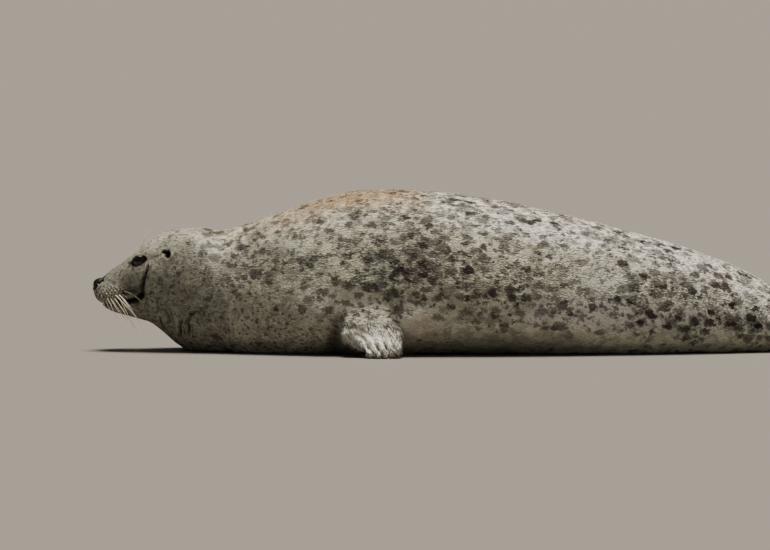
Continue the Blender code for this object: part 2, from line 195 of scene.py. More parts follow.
# a closed shell as an object. uvPlace gives the bake map's corners: (u of each row, v of each column and
# of the seam again).
def shellObject(name, rings, uvPlace=None):
    points, quads, fans, turn = closedShell(rings)
    obj = newPiece(name, points, quads.tolist() + fans.tolist())
    if uvPlace is not None:
        u, v = uvPlace
        rows, cols = rings.shape[:2]
        a, b = (grid.ravel() for grid in np.meshgrid(np.arange(rows - 1), np.arange(cols), indexing="ij"))
        quadCorners = np.stack([np.stack([u[a + down], v[a + down, b + on]], 1)
                                for down, on in ((0, 0), (0, 1), (1, 1), (1, 0))], axis=1)
        middle = (v[:, :-1] + v[:, 1:]) / 2
        fanCorners = [np.stack([np.stack([np.full(cols, u[row]), place], 1) for place in places], axis=1)
                      for row, places in ((0, (middle[0], v[0, 1:], v[0, :-1])),
                                          (-1, (middle[-1], v[-1, :-1], v[-1, 1:])))]
        corners = np.concatenate([part[:, ::turn].reshape(-1, 2) for part in (quadCorners, *fanCorners)])
        layer = obj.data.uv_layers.new(name="OFBake")
        layer.uv.foreach_set("vector", corners.astype(np.float32).ravel())
    return obj


# several closed tubes in one object
def tubesObject(name, tubes):
    points, faces, start = [], [], 0
    for rings in tubes:
        own, quads, fans, turn = closedShell(rings)
        points.append(own)
        faces += (quads + start).tolist() + (fans + start).tolist()
        start += len(own)
    return newPiece(name, np.concatenate(points), faces)


# rings round a path (rows, 3): ring k is middle + radius * (cos a * side + flat * sin a * above)
def ringsAlong(path, radius, sides, side, above, flat=1.0):
    angle = np.linspace(0, 2 * math.pi, sides, endpoint=False)
    ring = (np.cos(angle)[None, :, None] * side[:, None, :]
            + np.sin(angle)[None, :, None] * above[:, None, :] * flat)
    return path[:, None, :] + ring * radius[:, None, None]


# a tube along an open path, with its sides kept square to the way up that is given
def tubeRings(path, radius, sides, up):
    tangent = unit(np.gradient(path, axis=0))
    side = unit(np.cross(tangent, up))
    return ringsAlong(path, radius, sides, side, np.cross(side, tangent))


# one field of a mesh's items as an array, with width numbers to a row
def fieldOf(items, field, width=1, kind=np.float32):
    found = np.empty(len(items) * width, kind)
    items.foreach_get(field, found)
    return found.reshape(-1, width) if width > 1 else found


# vertices, as rows of x, y, z
def pointsOf(mesh):
    return fieldOf(mesh.vertices, "co", 3).astype(float)


def normalsOf(mesh):
    return fieldOf(mesh.vertex_normals, "vector", 3).astype(float)


def setPoints(mesh, points):
    mesh.vertices.foreach_set("co", points.astype(np.float32).ravel())
    mesh.update()


def setAttribute(mesh, name, kind, values):
    made = mesh.attributes.get(name) or mesh.attributes.new(name, kind, "POINT")
    field = {"FLOAT": "value", "FLOAT_VECTOR": "vector", "FLOAT_COLOR": "color"}[kind]
    made.data.foreach_set(field, np.asarray(values, np.float32).ravel())


# each round moves every point by its weight towards the mean of the points it shares an edge with
def relaxed(values, edges, weight, rounds):
    a, b = edges.T
    count = len(values)
    number = np.maximum(np.bincount(np.concatenate([a, b]), minlength=count), 1)[:, None]
    values = values.copy()
    for turn in range(rounds):
        total = np.stack([np.bincount(a, values[b, k], count) + np.bincount(b, values[a, k], count)
                          for k in range(values.shape[1])], axis=1)
        values += weight[:, None] * (total / number - values)
    return values


print("stage: the body's lines")

bodyForm = {
    "length": 1.800, "noseRound": 0.018, "noseRoundAbove": 0.036, "rumpRound": 0.100,
    "noseHeight": 0.159, "rumpHeight": 0.055,
    # outline from the side: (x, z)
    "backLine": (
        (0.000, 0.1810), (0.012, 0.1815), (0.024, 0.1850), (0.043, 0.2016), (0.068, 0.2185), (0.094, 0.2384),
        (0.119, 0.2574), (0.144, 0.2777), (0.170, 0.2942), (0.195, 0.3043), (0.230, 0.3105), (0.271, 0.3119),
        (0.322, 0.3081), (0.372, 0.3180), (0.423, 0.3335), (0.499, 0.3601), (0.560, 0.3840), (0.625, 0.4015),
        (0.702, 0.4093), (0.790, 0.4096), (0.879, 0.4025), (1.030, 0.3810), (1.233, 0.3360), (1.435, 0.2840),
        (1.537, 0.2511), (1.638, 0.2105), (1.706, 0.1725), (1.760, 0.1360), (1.800, 0.1060)),
    "bellyLine": (
        (0.000, 0.1330), (0.012, 0.1235), (0.028, 0.1090), (0.043, 0.1010), (0.068, 0.0920), (0.094, 0.0850),
        (0.119, 0.0780), (0.144, 0.0700), (0.165, 0.0560), (0.190, 0.0335), (0.215, 0.0130), (0.240, -0.0020),
        (0.290, -0.0110), (0.350, -0.0150), (0.700, -0.0150), (1.000, -0.0140), (1.200, -0.0170),
        (1.500, -0.0160), (1.680, -0.0090), (1.800, 0.0060)),
    # half the width from above: (x, y)
    "halfWidth": (
        (0.000, 0.0370), (0.015, 0.0410), (0.035, 0.0470), (0.060, 0.0530), (0.090, 0.0610), (0.115, 0.0715),
        (0.145, 0.0835), (0.180, 0.0950), (0.220, 0.1090), (0.262, 0.1240), (0.311, 0.1420), (0.360, 0.1600),
        (0.434, 0.1870), (0.507, 0.2110), (0.605, 0.2350), (0.728, 0.2510), (0.850, 0.2570), (1.000, 0.2530),
        (1.150, 0.2400), (1.291, 0.2200), (1.438, 0.1870), (1.585, 0.1450), (1.706, 0.1100), (1.800, 0.0880)),
    # how far up a section is widest, and how square it is above and below that
    "widestAt": ((0.0, 0.42), (0.06, 0.40), (0.12, 0.46), (0.25, 0.42), (0.38, 0.38), (0.70, 0.37),
                 (1.2, 0.36), (1.8, 0.44)),
    "squareAbove": ((0.0, 2.20), (0.055, 2.25), (0.095, 2.95), (0.125, 2.95), (0.17, 2.45), (0.25, 2.15),
                    (0.60, 2.02), (1.8, 2.10)),
    "squareBelow": ((0.0, 2.20), (0.12, 2.10), (0.22, 2.25), (0.30, 2.60), (0.45, 2.75), (0.9, 2.60),
                    (1.2, 2.80), (1.6, 2.70), (1.8, 2.20)),
}

mouthForm = {
    "line": ((0.000, 0.1250), (0.020, 0.1190), (0.045, 0.1165), (0.070, 0.1190), (0.095, 0.1265),
             (0.120, 0.1370)),
    "end": 0.118, "fade": 0.025, "lipDepth": 0.0030, "lipHalfWidth": 0.0055,
    "jawNarrower": 0.17, "jawSetBack": 0.013, "chinReach": 0.022, "jawStep": 0.014,
    "slitDepth": 0.0042, "slitHalfWidth": 0.0016,     # the parting itself, inside the soft lip crease
}

# rounded forms of the head, alike on both sides: centre, reach along x, y and z, and rise
headForms = {
    "whisker pad": ((0.044, 0.042, 0.148), (0.036, 0.030, 0.022), 0.0070),
    "nose pad": ((0.004, 0.012, 0.174), (0.014, 0.014, 0.010), 0.0030),
    "groove under the nose": ((0.000, 0.000, 0.140), (0.018, 0.006, 0.018), -0.0035),
    "bridge side": ((0.062, 0.034, 0.178), (0.032, 0.020, 0.020), -0.0015),
    "hollow before the cheek": ((0.092, 0.060, 0.158), (0.024, 0.030, 0.024), -0.0025),
    "brow": ((0.112, 0.042, 0.250), (0.022, 0.016, 0.010), 0.0020),
    "temple behind the eye": ((0.142, 0.074, 0.232), (0.018, 0.030, 0.018), -0.0055),
    "cheek": ((0.158, 0.088, 0.180), (0.042, 0.040, 0.046), 0.0060),
    "jaw muscle": ((0.150, 0.070, 0.105), (0.036, 0.040, 0.030), 0.0050),
    "nape": ((0.320, 0.000, 0.300), (0.045, 0.090, 0.060), -0.0020),
}


# A section of the body is two half ovals, |y/a|^n + |z/b|^n = 1, that meet at its widest height. Both
# ends round off as sqrt(1 - t^2.4). Angle 0 is the seal's right and pi / 2 its back.
def bodySection(x, angle):
    form = bodyForm
    nose = np.clip(1 - x / form["noseRound"], 0, 1)
    snout = np.clip(1 - x / form["noseRoundAbove"], 0, 1)
    rump = np.clip(1 - (form["length"] - x) / form["rumpRound"], 0, 1)
    full = np.sqrt(1 - nose**2.4) * np.sqrt(1 - rump**2.2)
    broad = np.sqrt(1 - snout**2.4) * np.sqrt(1 - rump**2.2)
    centre = np.where(x < form["length"] / 2, form["noseHeight"], form["rumpHeight"])
    top = centre + (smoothLine(form["backLine"], x) - centre) * full
    bottom = centre + (smoothLine(form["bellyLine"], x) - centre) * full
    half = smoothLine(form["halfWidth"], x) * broad
    widest = bottom + (top - bottom) * smoothLine(form["widestAt"], x)
    up, along = np.sin(angle), np.cos(angle)
    power = 2 / np.where(up > 0, smoothLine(form["squareAbove"], x), smoothLine(form["squareBelow"], x))
    height = np.where(up > 0, top - widest, widest - bottom)
    y = half * signedPower(along, power)
    z = widest + height * signedPower(up, power)
    return np.stack([np.broadcast_to(x, y.shape), y, np.maximum(z, 0.0)], axis=-1)


skinForm = {
    "round": 224,                # points round a ring of the body
    "spacing": ((0.0, 0.00014), (0.003, 0.00055), (0.010, 0.0010), (0.030, 0.00135), (0.140, 0.00135),
                (0.200, 0.0021), (0.250, 0.0045), (0.340, 0.0105), (1.660, 0.0115), (1.740, 0.0060),
                (1.790, 0.0022), (1.800, 0.0006)),
    "endGap": 0.00002,
    # how far the skin lies inside the outline, which is the outside of the coat: (x, depth)
    "coatDepth": ((0.0, 0.0004), (0.03, 0.0006), (0.12, 0.0010), (0.22, 0.0018), (0.40, 0.0028),
                  (1.8, 0.0028)),
    "floorGap": 0.0006,
}


# Shares of the way round for the columns of each ring, from the middle of the belly. They are even on
# the trunk and crowd at eye and lip height on the head, as the inverse of a summed density.
def columnShares(stations, count):
    fine = np.linspace(0, 1, 4001)
    fromTop = np.abs(fine - 0.5)
    crowd = 1 + 1.7 * bell(fromTop - 0.10, 0.045) + 0.9 * bell(fromTop - 0.41, 0.06)
    run = np.concatenate([[0.0], np.cumsum((crowd[1:] + crowd[:-1]) / 2)])
    even = np.arange(count + 1) / count
    bunched = np.interp(even, run / run[-1], fine)
    onHead = 1 - ease((stations - 0.17) / 0.15)
    return even[None, :] + (bunched - even)[None, :] * onHead[:, None]


# The body's rings: each section is drawn at many angles, then read again at its columns' shares of the
# way round, and the head's forms are added.
def bodyRings(stations, shares):
    angle = np.linspace(0, 2 * math.pi, 1801) - math.pi / 2
    dense = bodySection(stations[:, None], angle[None, :])
    steps = np.linalg.norm(np.diff(dense, axis=1), axis=2)
    rings = np.empty((len(stations), shares.shape[1] - 1, 3))
    for row in range(len(stations)):
        along = np.concatenate([[0.0], np.cumsum(steps[row])])
        at = shares[row, :-1] * along[-1]
        rings[row] = np.stack([np.interp(at, along, dense[row, :, k]) for k in range(3)], axis=1)
    return headShaped(rings)


# Each form moves the surface out along its normal by rise * e^-(distance / reach)^2. The lower jaw is
# narrower and starts further back, and the lips part along a soft crease.
def headShaped(rings):
    form = mouthForm
    shaped, normals = rings.copy(), ringNormals(rings)
    half = len(rings) // 2
    if (normals[half] * (rings[half] - rings[half].mean(axis=0))).sum() < 0:
        normals = -normals
    mirrored = shaped.copy()
    mirrored[..., 1] = np.abs(shaped[..., 1])
    for centre, reach, rise in headForms.values():
        shaped += normals * (rise * within(mirrored, centre, reach))[..., None]
    x, z = mirrored[..., 0], mirrored[..., 2]
    below = smoothLine(form["line"], np.minimum(x, form["end"])) - z
    mouth = 1 - ease((x - form["end"] + form["fade"]) / form["fade"])
    jaw = mouth * ease(below / form["jawStep"])
    shaped[..., 1] *= 1 - form["jawNarrower"] * jaw
    shaped[..., 0] += form["jawSetBack"] * jaw * np.exp(-((x / form["chinReach"]) ** 2))
    shaped -= normals * (form["lipDepth"] * mouth * bell(below, form["lipHalfWidth"]))[..., None]
    inset = smoothLine(skinForm["coatDepth"], x) * ease(shaped[..., 2] / 0.012)
    shaped -= normals * inset[..., None]
    shaped[..., 2] = np.maximum(shaped[..., 2], skinForm["floorGap"])
    return shaped


print("stage: flippers and tail")

toeForm = {
    "count": 5, "edgePlace": 1.15, "edgeShorter": 0.86, "spreadFrom": 0.5, "roundFrom": 0.88,
    "endWidth": 0.78, "endThickness": 0.16,
    "clawPlace": 0.97, "clawSpan": 0.80, "clawFan": 0.16,
    # a flipper's section is an oval to these powers, and its rows crowd towards the tips by the last
    "acrossPower": 0.9, "facePower": 0.8, "rowPower": 1.25, "ridgeRamp": 0.10,
}
toePlaces = np.linspace(-0.80, 0.80, toeForm["count"])

# A path runs from root to toe tips as (share, x, y, z) on the seal's left. ridge is how far the toes
# stand out of the back of the hand, web how far the skin between them falls short of the tips.
foreFlipper = {
    "path": ((0.00, 0.700, -0.150, 0.160), (0.30, 0.706, -0.204, 0.128), (0.55, 0.698, -0.246, 0.086),
             (0.80, 0.719, -0.279, 0.040), (1.00, 0.738, -0.321, 0.012)),
    "halfWidth": ((0.0, 0.054), (0.30, 0.056), (0.55, 0.062), (0.68, 0.066), (0.80, 0.065), (0.90, 0.057),
                  (1.0, 0.062)),
    "halfThickness": ((0.0, 0.040), (0.30, 0.033), (0.55, 0.029), (0.80, 0.022), (1.0, 0.0130)),
    "across": (0.995, -0.08, 0.02), "toeLengths": (1.00, 1.04, 1.03, 1.00, 0.95),
    "rows": 70, "round": 128, "ridge": 0.0100, "toesFrom": 0.89, "web": 0.085, "coat": 0.0022,
    "claw": {"length": 0.021, "radius": 0.0046, "sink": 0.012, "curl": 0.003, "way": (0.50, -0.60, -0.55)},
}
hindFlipper = {
    "path": ((0.00, 1.680, -0.046, 0.074), (0.35, 1.800, -0.060, 0.064), (0.60, 1.885, -0.066, 0.063),
             (1.00, 2.050, -0.080, 0.074)),
    "halfWidth": ((0.0, 0.052), (0.35, 0.048), (0.55, 0.051), (0.80, 0.069), (1.0, 0.082)),
    "halfThickness": ((0.0, 0.040), (0.35, 0.034), (0.55, 0.022), (0.80, 0.012), (1.0, 0.008)),
    "across": (0.0, 0.36, 0.93), "toeLengths": (1.05, 0.99, 0.96, 0.98, 1.03),
    "rows": 62, "round": 80, "ridge": 0.0042, "toesFrom": 0.46, "web": 0.075, "coat": 0.0014,
    "claw": {"length": 0.020, "radius": 0.0034, "sink": 0.008, "curl": 0.003, "way": (1.0, -0.05, -0.02)},
}
tailForm = {
    "path": ((0.0, 1.720, 0.0, 0.112), (0.5, 1.805, 0.0, 0.100), (1.0, 1.885, 0.0, 0.086)),
    "halfWidth": ((0.0, 0.044), (0.5, 0.034), (0.85, 0.025), (1.0, 0.019)),
    "halfThickness": ((0.0, 0.024), (0.5, 0.018), (0.85, 0.012), (1.0, 0.009)),
    "across": (0.0, 1.0, 0.0), "toeLengths": (0.80, 0.96, 1.00, 0.96, 0.80),
    "rows": 30, "round": 36, "ridge": 0.0, "toesFrom": 0.5, "web": 0.0, "coat": 0.0014,
}


# points along a flipper's middle line, which runs straight on past its two ends
def pathPoint(path, share):
    share = np.asarray(share, float)
    keys = np.asarray(path, float)
    inside = np.clip(share, 0, 1)
    first = (keys[1, 1:] - keys[0, 1:]) / (keys[1, 0] - keys[0, 0])
    last = (keys[-1, 1:] - keys[-2, 1:]) / (keys[-1, 0] - keys[-2, 0])
    beyond = (share - inside)[..., None]
    return smoothLine(keys, inside) + np.where(beyond > 0, last, first) * beyond


# A flipper is a flattened oval carried along its path: middle + wide * place * across + thick * side *
# out. The toes stand out as raised cosines across it, and its end is scalloped between them.
def flipperRings(shape):
    across = unit(shape["across"])
    share = 1 - (1 - np.linspace(0, 1, shape["rows"])) ** toeForm["rowPower"]
    angle = np.linspace(0, 2 * math.pi, shape["round"], endpoint=False) - math.pi / 2
    place = signedPower(np.cos(angle), toeForm["acrossPower"])
    side = signedPower(np.sin(angle), toeForm["facePower"])
    toes = shape["toeLengths"]
    edges = [(-toeForm["edgePlace"], toes[0] * toeForm["edgeShorter"]),
             (toeForm["edgePlace"], toes[-1] * toeForm["edgeShorter"])]
    reach = smoothLine([edges[0], *zip(toePlaces, toes), edges[1]], place)
    ridge = 0.5 + 0.5 * np.cos(2 * math.pi * place / (toePlaces[1] - toePlaces[0]))
    reach = reach - shape["web"] * (1 - ridge)
    spread = ease((share - toeForm["spreadFrom"]) / (1 - toeForm["spreadFrom"]))[:, None]
    lengthened = share[:, None] * (1 + (reach[None, :] - 1) * spread)
    roundFrom = toeForm["roundFrom"]
    rounded = np.sqrt(1 - np.clip((share - roundFrom) / (1 - roundFrom), 0, 1) ** 2.5)[:, None]
    tangent = pathPoint(shape["path"], share + 0.02) - pathPoint(shape["path"], share - 0.02)
    out = unit(np.cross(tangent, across))[:, None, :]
    endWidth = toeForm["endWidth"]
    wide = smoothLine(shape["halfWidth"], share)[:, None] * (endWidth + (1 - endWidth) * rounded)
    thick = smoothLine(shape["halfThickness"], share)[:, None] * np.maximum(rounded, toeForm["endThickness"])
    wide, thick = wide - shape["coat"], thick - shape["coat"] * rounded
    onset = ease((share - shape["toesFrom"]) / toeForm["ridgeRamp"])[:, None]
    raised = shape["ridge"] * onset * np.maximum(rounded, 0.3)
    onBack = np.where(side > 0, side, 0.55 * side)
    lift = raised * (ridge - 0.5) * onBack
    rings = (pathPoint(shape["path"], lengthened) + across * (wide * place)[..., None]
             + out * (thick * side + lift)[..., None])
    rings[..., 2] = np.maximum(rings[..., 2], skinForm["floorGap"] * 1.5)
    return rings


# the bake map's corners for a flipper: a box (u low, u high, v low, v high)
def boxPlaces(rows, cols, box):
    u = np.linspace(box[0], box[1], rows)
    v = np.broadcast_to(np.linspace(box[2], box[3], cols + 1), (rows, cols + 1))
    return u, v


print("stage: one skin")

stations = spacedPlaces(skinForm["endGap"], bodyForm["length"] - skinForm["endGap"], skinForm["spacing"])
shares = columnShares(stations, skinForm["round"])
bodyU = np.interp(stations, (0.0, 0.12, 0.25, 1.8), (0.01, 0.23, 0.36, 0.80))
bodyV = 0.01 + 0.98 * shares
body = shellObject("grey_seal_skin", bodyRings(stations, shares), (bodyU, bodyV))
limbs = []
bakeBoxes = {"foreLeft": (0.83, 0.98, 0.01, 0.25), "foreRight": (0.83, 0.98, 0.27, 0.51),
             "hindLeft": (0.83, 0.98, 0.53, 0.72), "hindRight": (0.83, 0.98, 0.74, 0.93),
             "tail": (0.83, 0.98, 0.95, 0.99)}
for word, shape, way in (("foreLeft", foreFlipper, 1), ("foreRight", foreFlipper, -1),
                         ("hindLeft", hindFlipper, 1), ("hindRight", hindFlipper, -1), ("tail", tailForm, 1)):
    rings = flipperRings(shape) * toSide(way)
    if word == "tail":
        rings = rings + np.array([0.0, 0.0, 0.0003])
    limbs.append(shellObject(word, rings, boxPlaces(*rings.shape[:2], bakeBoxes[word])))

# every limb keeps its own material number through the union, so that its faces can be told apart
limbMaterials = [bpy.data.materials.new(f"limb{slot}") for slot in range(6)]
for number, obj in enumerate([body] + limbs):
    for material in limbMaterials:
        obj.data.materials.append(material)
    obj.data.polygons.foreach_set("material_index", np.full(len(obj.data.polygons), number, np.int32))
for limb in limbs:
    join = body.modifiers.new("join " + limb.name, "BOOLEAN")
    join.operation, join.solver, join.object = "UNION", "EXACT", limb
graph = bpy.context.evaluated_depsgraph_get()
skinMesh = bpy.data.meshes.new_from_object(body.evaluated_get(graph), preserve_all_data_layers=True,
                                           depsgraph=graph)
body.modifiers.clear()
body.data = skinMesh
skin = body
for limb in limbs:
    bpy.data.objects.remove(limb, do_unlink=True)
print("  skin joined:", len(skinMesh.vertices), "points")

polygons = skinMesh.polygons
faceLimb = fieldOf(polygons, "material_index", kind=np.int32)
loopTotal = fieldOf(polygons, "loop_total", kind=np.int32)
loopVertex = fieldOf(skinMesh.loops, "vertex_index", kind=np.int32)
loopLimb = np.repeat(faceLimb, loopTotal)
pointCount = len(skinMesh.vertices)
lowLimb, highLimb = np.full(pointCount, 99), np.full(pointCount, -1)
np.minimum.at(lowLimb, loopVertex, loopLimb)
np.maximum.at(highLimb, loopVertex, loopLimb)
limbOf = highLimb
onJoint = highLimb != lowLimb
places = pointsOf(skinMesh)
edges = fieldOf(skinMesh.edges, "vertices", 2, np.int32)
print("  joint points:", int(onJoint.sum()))


# Each point's place on its limb, read back from the bake map: share of the way to the tips, place across
# from the leading edge (-1) to the trailing one (1), and which face it is on (1 is the back of the hand).
uvOf = fieldOf(skinMesh.uv_layers["OFBake"].uv, "vector", 2)
uses = np.maximum(np.bincount(loopVertex, minlength=pointCount), 1)
meanU, meanV = (np.bincount(loopVertex, uvOf[:, k], pointCount) / uses for k in range(2))
limbShare, limbAcross, limbFace = np.zeros(pointCount), np.zeros(pointCount), np.zeros(pointCount)
for number, word in enumerate(("foreLeft", "foreRight", "hindLeft", "hindRight"), 1):
    box, on = bakeBoxes[word], limbOf == number
    towardsTips = np.clip((meanU[on] - box[0]) / (box[1] - box[0]), 0, 1)
    limbShare[on] = 1 - (1 - towardsTips) ** toeForm["rowPower"]
    around = 2 * math.pi * (meanV[on] - box[2]) / (box[3] - box[2]) - math.pi / 2
    limbAcross[on] = signedPower(np.cos(around), toeForm["acrossPower"])
    limbFace[on] = signedPower(np.sin(around), toeForm["facePower"])


# distance from each point to the nearest of some others, in blocks
def nearest(points, others):
    found = np.full(len(points), 1e9)
    for start in range(0, len(others), 200):
        block = others[start:start + 200]
        gap = ((points[:, None, :] - block[None, :, :]) ** 2).sum(axis=2).min(axis=1)
        found = np.minimum(found, gap)
    return np.sqrt(found)


# the skin runs into each flipper in a soft curve: points near a joint relax, the nearest the most
closeBy = np.where((places[:, 0] > 0.5) & (places[:, 0] < 1.95))[0]
jointGap = np.full(pointCount, 1e9)
jointGap[closeBy] = nearest(places[closeBy], places[onJoint])
jointReach = 0.034 + 0.056 * ease((places[:, 2] - 0.065) / 0.050)
places = relaxed(places, edges, 0.6 * (1 - ease(jointGap / jointReach)), 60)
places[:, 2] = np.maximum(places[:, 2], skinForm["floorGap"])
setPoints(skinMesh, places)

print("stage: eyes, nose, lips, ears and folds in the skin")

# the eye and its lids. a runs back along the head and b up, both square to the way the eye looks
eyeForm = {
    "centre": (0.1215, 0.0430, 0.2262), "radius": 0.0205, "gaze": (-0.28, 0.945, 0.17),
    "opening": (-0.0160, 0.0168, 0.0098, 0.0106),      # front, back, above, below
    "dark": (-0.0235, 0.0240, 0.0148, 0.0142),         # the bare dark skin round it
    "tilt": 0.18, "lid": 0.0012, "sink": 0.0040, "slope": 0.0085, "cornerDepth": 0.0045,
}
noseForm = {
    # the nostril, seen from the side: (share, x, z)
    "slit": ((0.0, 0.0262, 0.1782), (0.35, 0.0190, 0.1738), (0.7, 0.0115, 0.1655), (1.0, 0.0052, 0.1560)),
    "slitDepth": 0.0052, "slitHalfWidth": 0.0017,
    # the bare pad lies in front of and above this line, given by a point on it and the way square to it
    "padPoint": (0.0262, 0.1790), "padWay": (-0.745, 0.667), "padLow": 0.1520,
}
earForm = {
    # the opening is two ovals in one: (x, z, half length, half height)
    "ovals": ((0.1905, 0.2480, 0.0080, 0.0112), (0.1830, 0.2530, 0.0086, 0.0054)), "depth": 0.0095,
    "rim": ((0.0, 0.1750, 0.2460), (0.5, 0.1798, 0.2388), (1.0, 0.1862, 0.2328)), "rimRise": 0.0016,
}
# painted shade in the hollow at the corner of the mouth and under the lip: path (share, x, z), half width,
# how dark
mouthCorner = (
    (((0.0, 0.1230, 0.1490), (0.4, 0.1120, 0.1560), (0.7, 0.0980, 0.1560), (1.0, 0.0820, 0.1490)), 0.0130,
     0.62),
    (((0.0, 0.1230, 0.1420), (0.35, 0.1090, 0.1300), (0.7, 0.0920, 0.1240), (1.0, 0.0700, 0.1200)), 0.0122,
     1.0),
)
mouthCornerDepth = 0.0055

# folds seen from the side, alike on both: path (share, x, z), depth, half width, how dark and wet. The tear
# track's dark is a wet streak of its own; in every other fold the dark is painted shade in the crease
folds = {
    "tear track": (((0.0, 0.1420, 0.2270), (0.15, 0.1408, 0.2150), (0.35, 0.1366, 0.2000),
                    (0.6, 0.1312, 0.1810),
                    (0.8, 0.1272, 0.1630), (1.0, 0.1230, 0.1460)), 0.0045, 0.0032, 0.92),
    "strip before the track": (((0.0, 0.1330, 0.2180), (0.5, 0.1290, 0.2000), (1.0, 0.1235, 0.1820)), 0.0012,
                               0.0018, 0.18),
    "front of the throat": (((0.0, 0.268, 0.112), (0.25, 0.253, 0.097), (0.45, 0.245, 0.087),
                             (0.6, 0.242, 0.074),
                             (0.8, 0.246, 0.056), (1.0, 0.242, 0.036)), 0.0050, 0.0030, 0.85),
    "behind the jaw": (((0.0, 0.233, 0.090), (0.35, 0.2225, 0.0700), (0.7, 0.2235, 0.050),
                        (1.0, 0.219, 0.032)),
                       0.0046, 0.0028, 0.80),
    "under the jaw": (((0.0, 0.171, 0.091), (0.5, 0.174, 0.074), (1.0, 0.184, 0.056)), 0.0030, 0.0023, 0.62),
    "side of the jaw": (((0.0, 0.176, 0.118), (0.5, 0.192, 0.096), (1.0, 0.200, 0.066)), 0.0030, 0.0030,
                        0.34),
    "corner of the jaw": (((0.0, 0.160, 0.142), (0.5, 0.168, 0.118), (1.0, 0.166, 0.098)), 0.0022, 0.0026,
                          0.26),
    "low on the throat": (((0.0, 0.290, 0.128), (0.5, 0.283, 0.104), (1.0, 0.268, 0.074)), 0.0034, 0.0040,
                          0.30),
    "side of the neck": (((0.0, 0.392, 0.318), (0.5, 0.381, 0.286), (1.0, 0.384, 0.246)), 0.0022, 0.0060,
                         0.10),
    "second neck fold": (((0.0, 0.352, 0.150), (0.5, 0.338, 0.105), (1.0, 0.340, 0.060)), 0.0018, 0.0070,
                         0.05),
    "before the flipper": (((0.0, 0.630, 0.108), (0.5, 0.622, 0.070), (1.0, 0.612, 0.025)), 0.0080, 0.0110,
                           0.40),
    "across the wrist": (((0.0, 0.634, 0.0660), (0.5, 0.668, 0.0740), (1.0, 0.702, 0.0560)), 0.0012, 0.0042,
                         0.04),
}
# soft forms over the head that only the skin has: centre, reach, rise
skinForms = {
    "cheek in front of the tear track": ((0.116, 0.064, 0.186), (0.014, 0.030, 0.024), 0.0038),
    "ridge behind the tear track": ((0.148, 0.078, 0.190), (0.009, 0.030, 0.040), 0.0018),
    "upper lip": ((0.060, 0.048, 0.120), (0.030, 0.020, 0.010), 0.0016),
    "chin": ((0.045, 0.020, 0.092), (0.026, 0.020, 0.010), 0.0014),
    "heel of the hand": ((0.641, 0.280, 0.028), (0.026, 0.055, 0.027), 0.0220),
    "front of the wrist": ((0.642, 0.275, 0.060), (0.020, 0.040, 0.026), 0.0060),
    "back of the wrist": ((0.668, 0.280, 0.082), (0.030, 0.040, 0.020), 0.0045),
    "shoulder over the arm": ((0.695, 0.235, 0.165), (0.085, 0.060, 0.040), 0.0060),
    "behind the arm": ((0.815, 0.245, 0.078), (0.050, 0.060, 0.042), 0.0180),
    "before the arm": ((0.570, 0.235, 0.108), (0.045, 0.060, 0.045), 0.0090),
    "hollow behind the heel": ((0.6800, 0.305, 0.014), (0.008, 0.030, 0.014), -0.0130),
}


# Signed distance from an almond, negative inside. Its edges are half heights times (1 - t^2)^0.7 above
# and below a tilted axis.
def almond(a, b, reach):
    front, back, above, below = reach
    half, middle = (back - front) / 2, (back + front) / 2
    arch = (1 - np.clip((a - middle) / half, -1, 1) ** 2) ** 0.7
    height = b - eyeForm["tilt"] * (a - middle)
    inside = np.where(height > 0, height - above * arch, -height - below * arch)
    beyond = np.maximum(np.abs(a - middle) - half, 0)
    return np.where(beyond > 0, np.hypot(beyond, height), inside)


# the larger of two values, rounded over where they are within reach of each other
def softMax(a, b, reach):
    return 0.5 * (a + b + np.sqrt((a - b) ** 2 + reach**2))


eyeCentre = np.array(eyeForm["centre"])
gaze = unit(eyeForm["gaze"])
eyeBack = unit(np.array([1.0, 0.0, 0.0]) - gaze * gaze[0])
eyeUp = np.cross(eyeBack, gaze)


# Moves points (x, |y|, z) along the gaze for the lids: out over the eyeball as a soft maximum of their own
# height and the lid's, down to the lid's edge round the opening, and in under the eyeball inside it.
def liddedPoints(points):
    away = points - eyeCentre
    a, b, high = away @ eyeBack, away @ eyeUp, away @ gaze
    spread = a**2 + b**2
    lidHigh = np.sqrt(np.maximum((eyeForm["radius"] + eyeForm["lid"]) ** 2 - spread, 0))
    over = softMax(high, lidHigh, 0.004)
    outside = almond(a, b, eyeForm["opening"])
    rim = softMax(lidHigh, over - eyeForm["cornerDepth"], 0.002)
    shaped = rim + (over - rim) * ease(outside / eyeForm["slope"])
    shaped += 0.0006 * bell(outside - 0.0024, 0.0014) - 0.0007 * bell(outside - 0.0058, 0.0016)
    inner = np.sqrt(np.maximum((eyeForm["radius"] - eyeForm["sink"]) ** 2 - spread, 0))
    inner = np.maximum(inner, rim - 0.010)
    shaped = np.where(outside < 0.0003, rim + (inner - rim) * ease((0.0003 - outside) / 0.0014), shaped)
    reach = ease((high + 0.002) / 0.006) * (1 - ease((np.sqrt(spread) - 0.026) / 0.012))
    return points + gaze * ((shaped - high) * reach)[:, None], a, b, reach


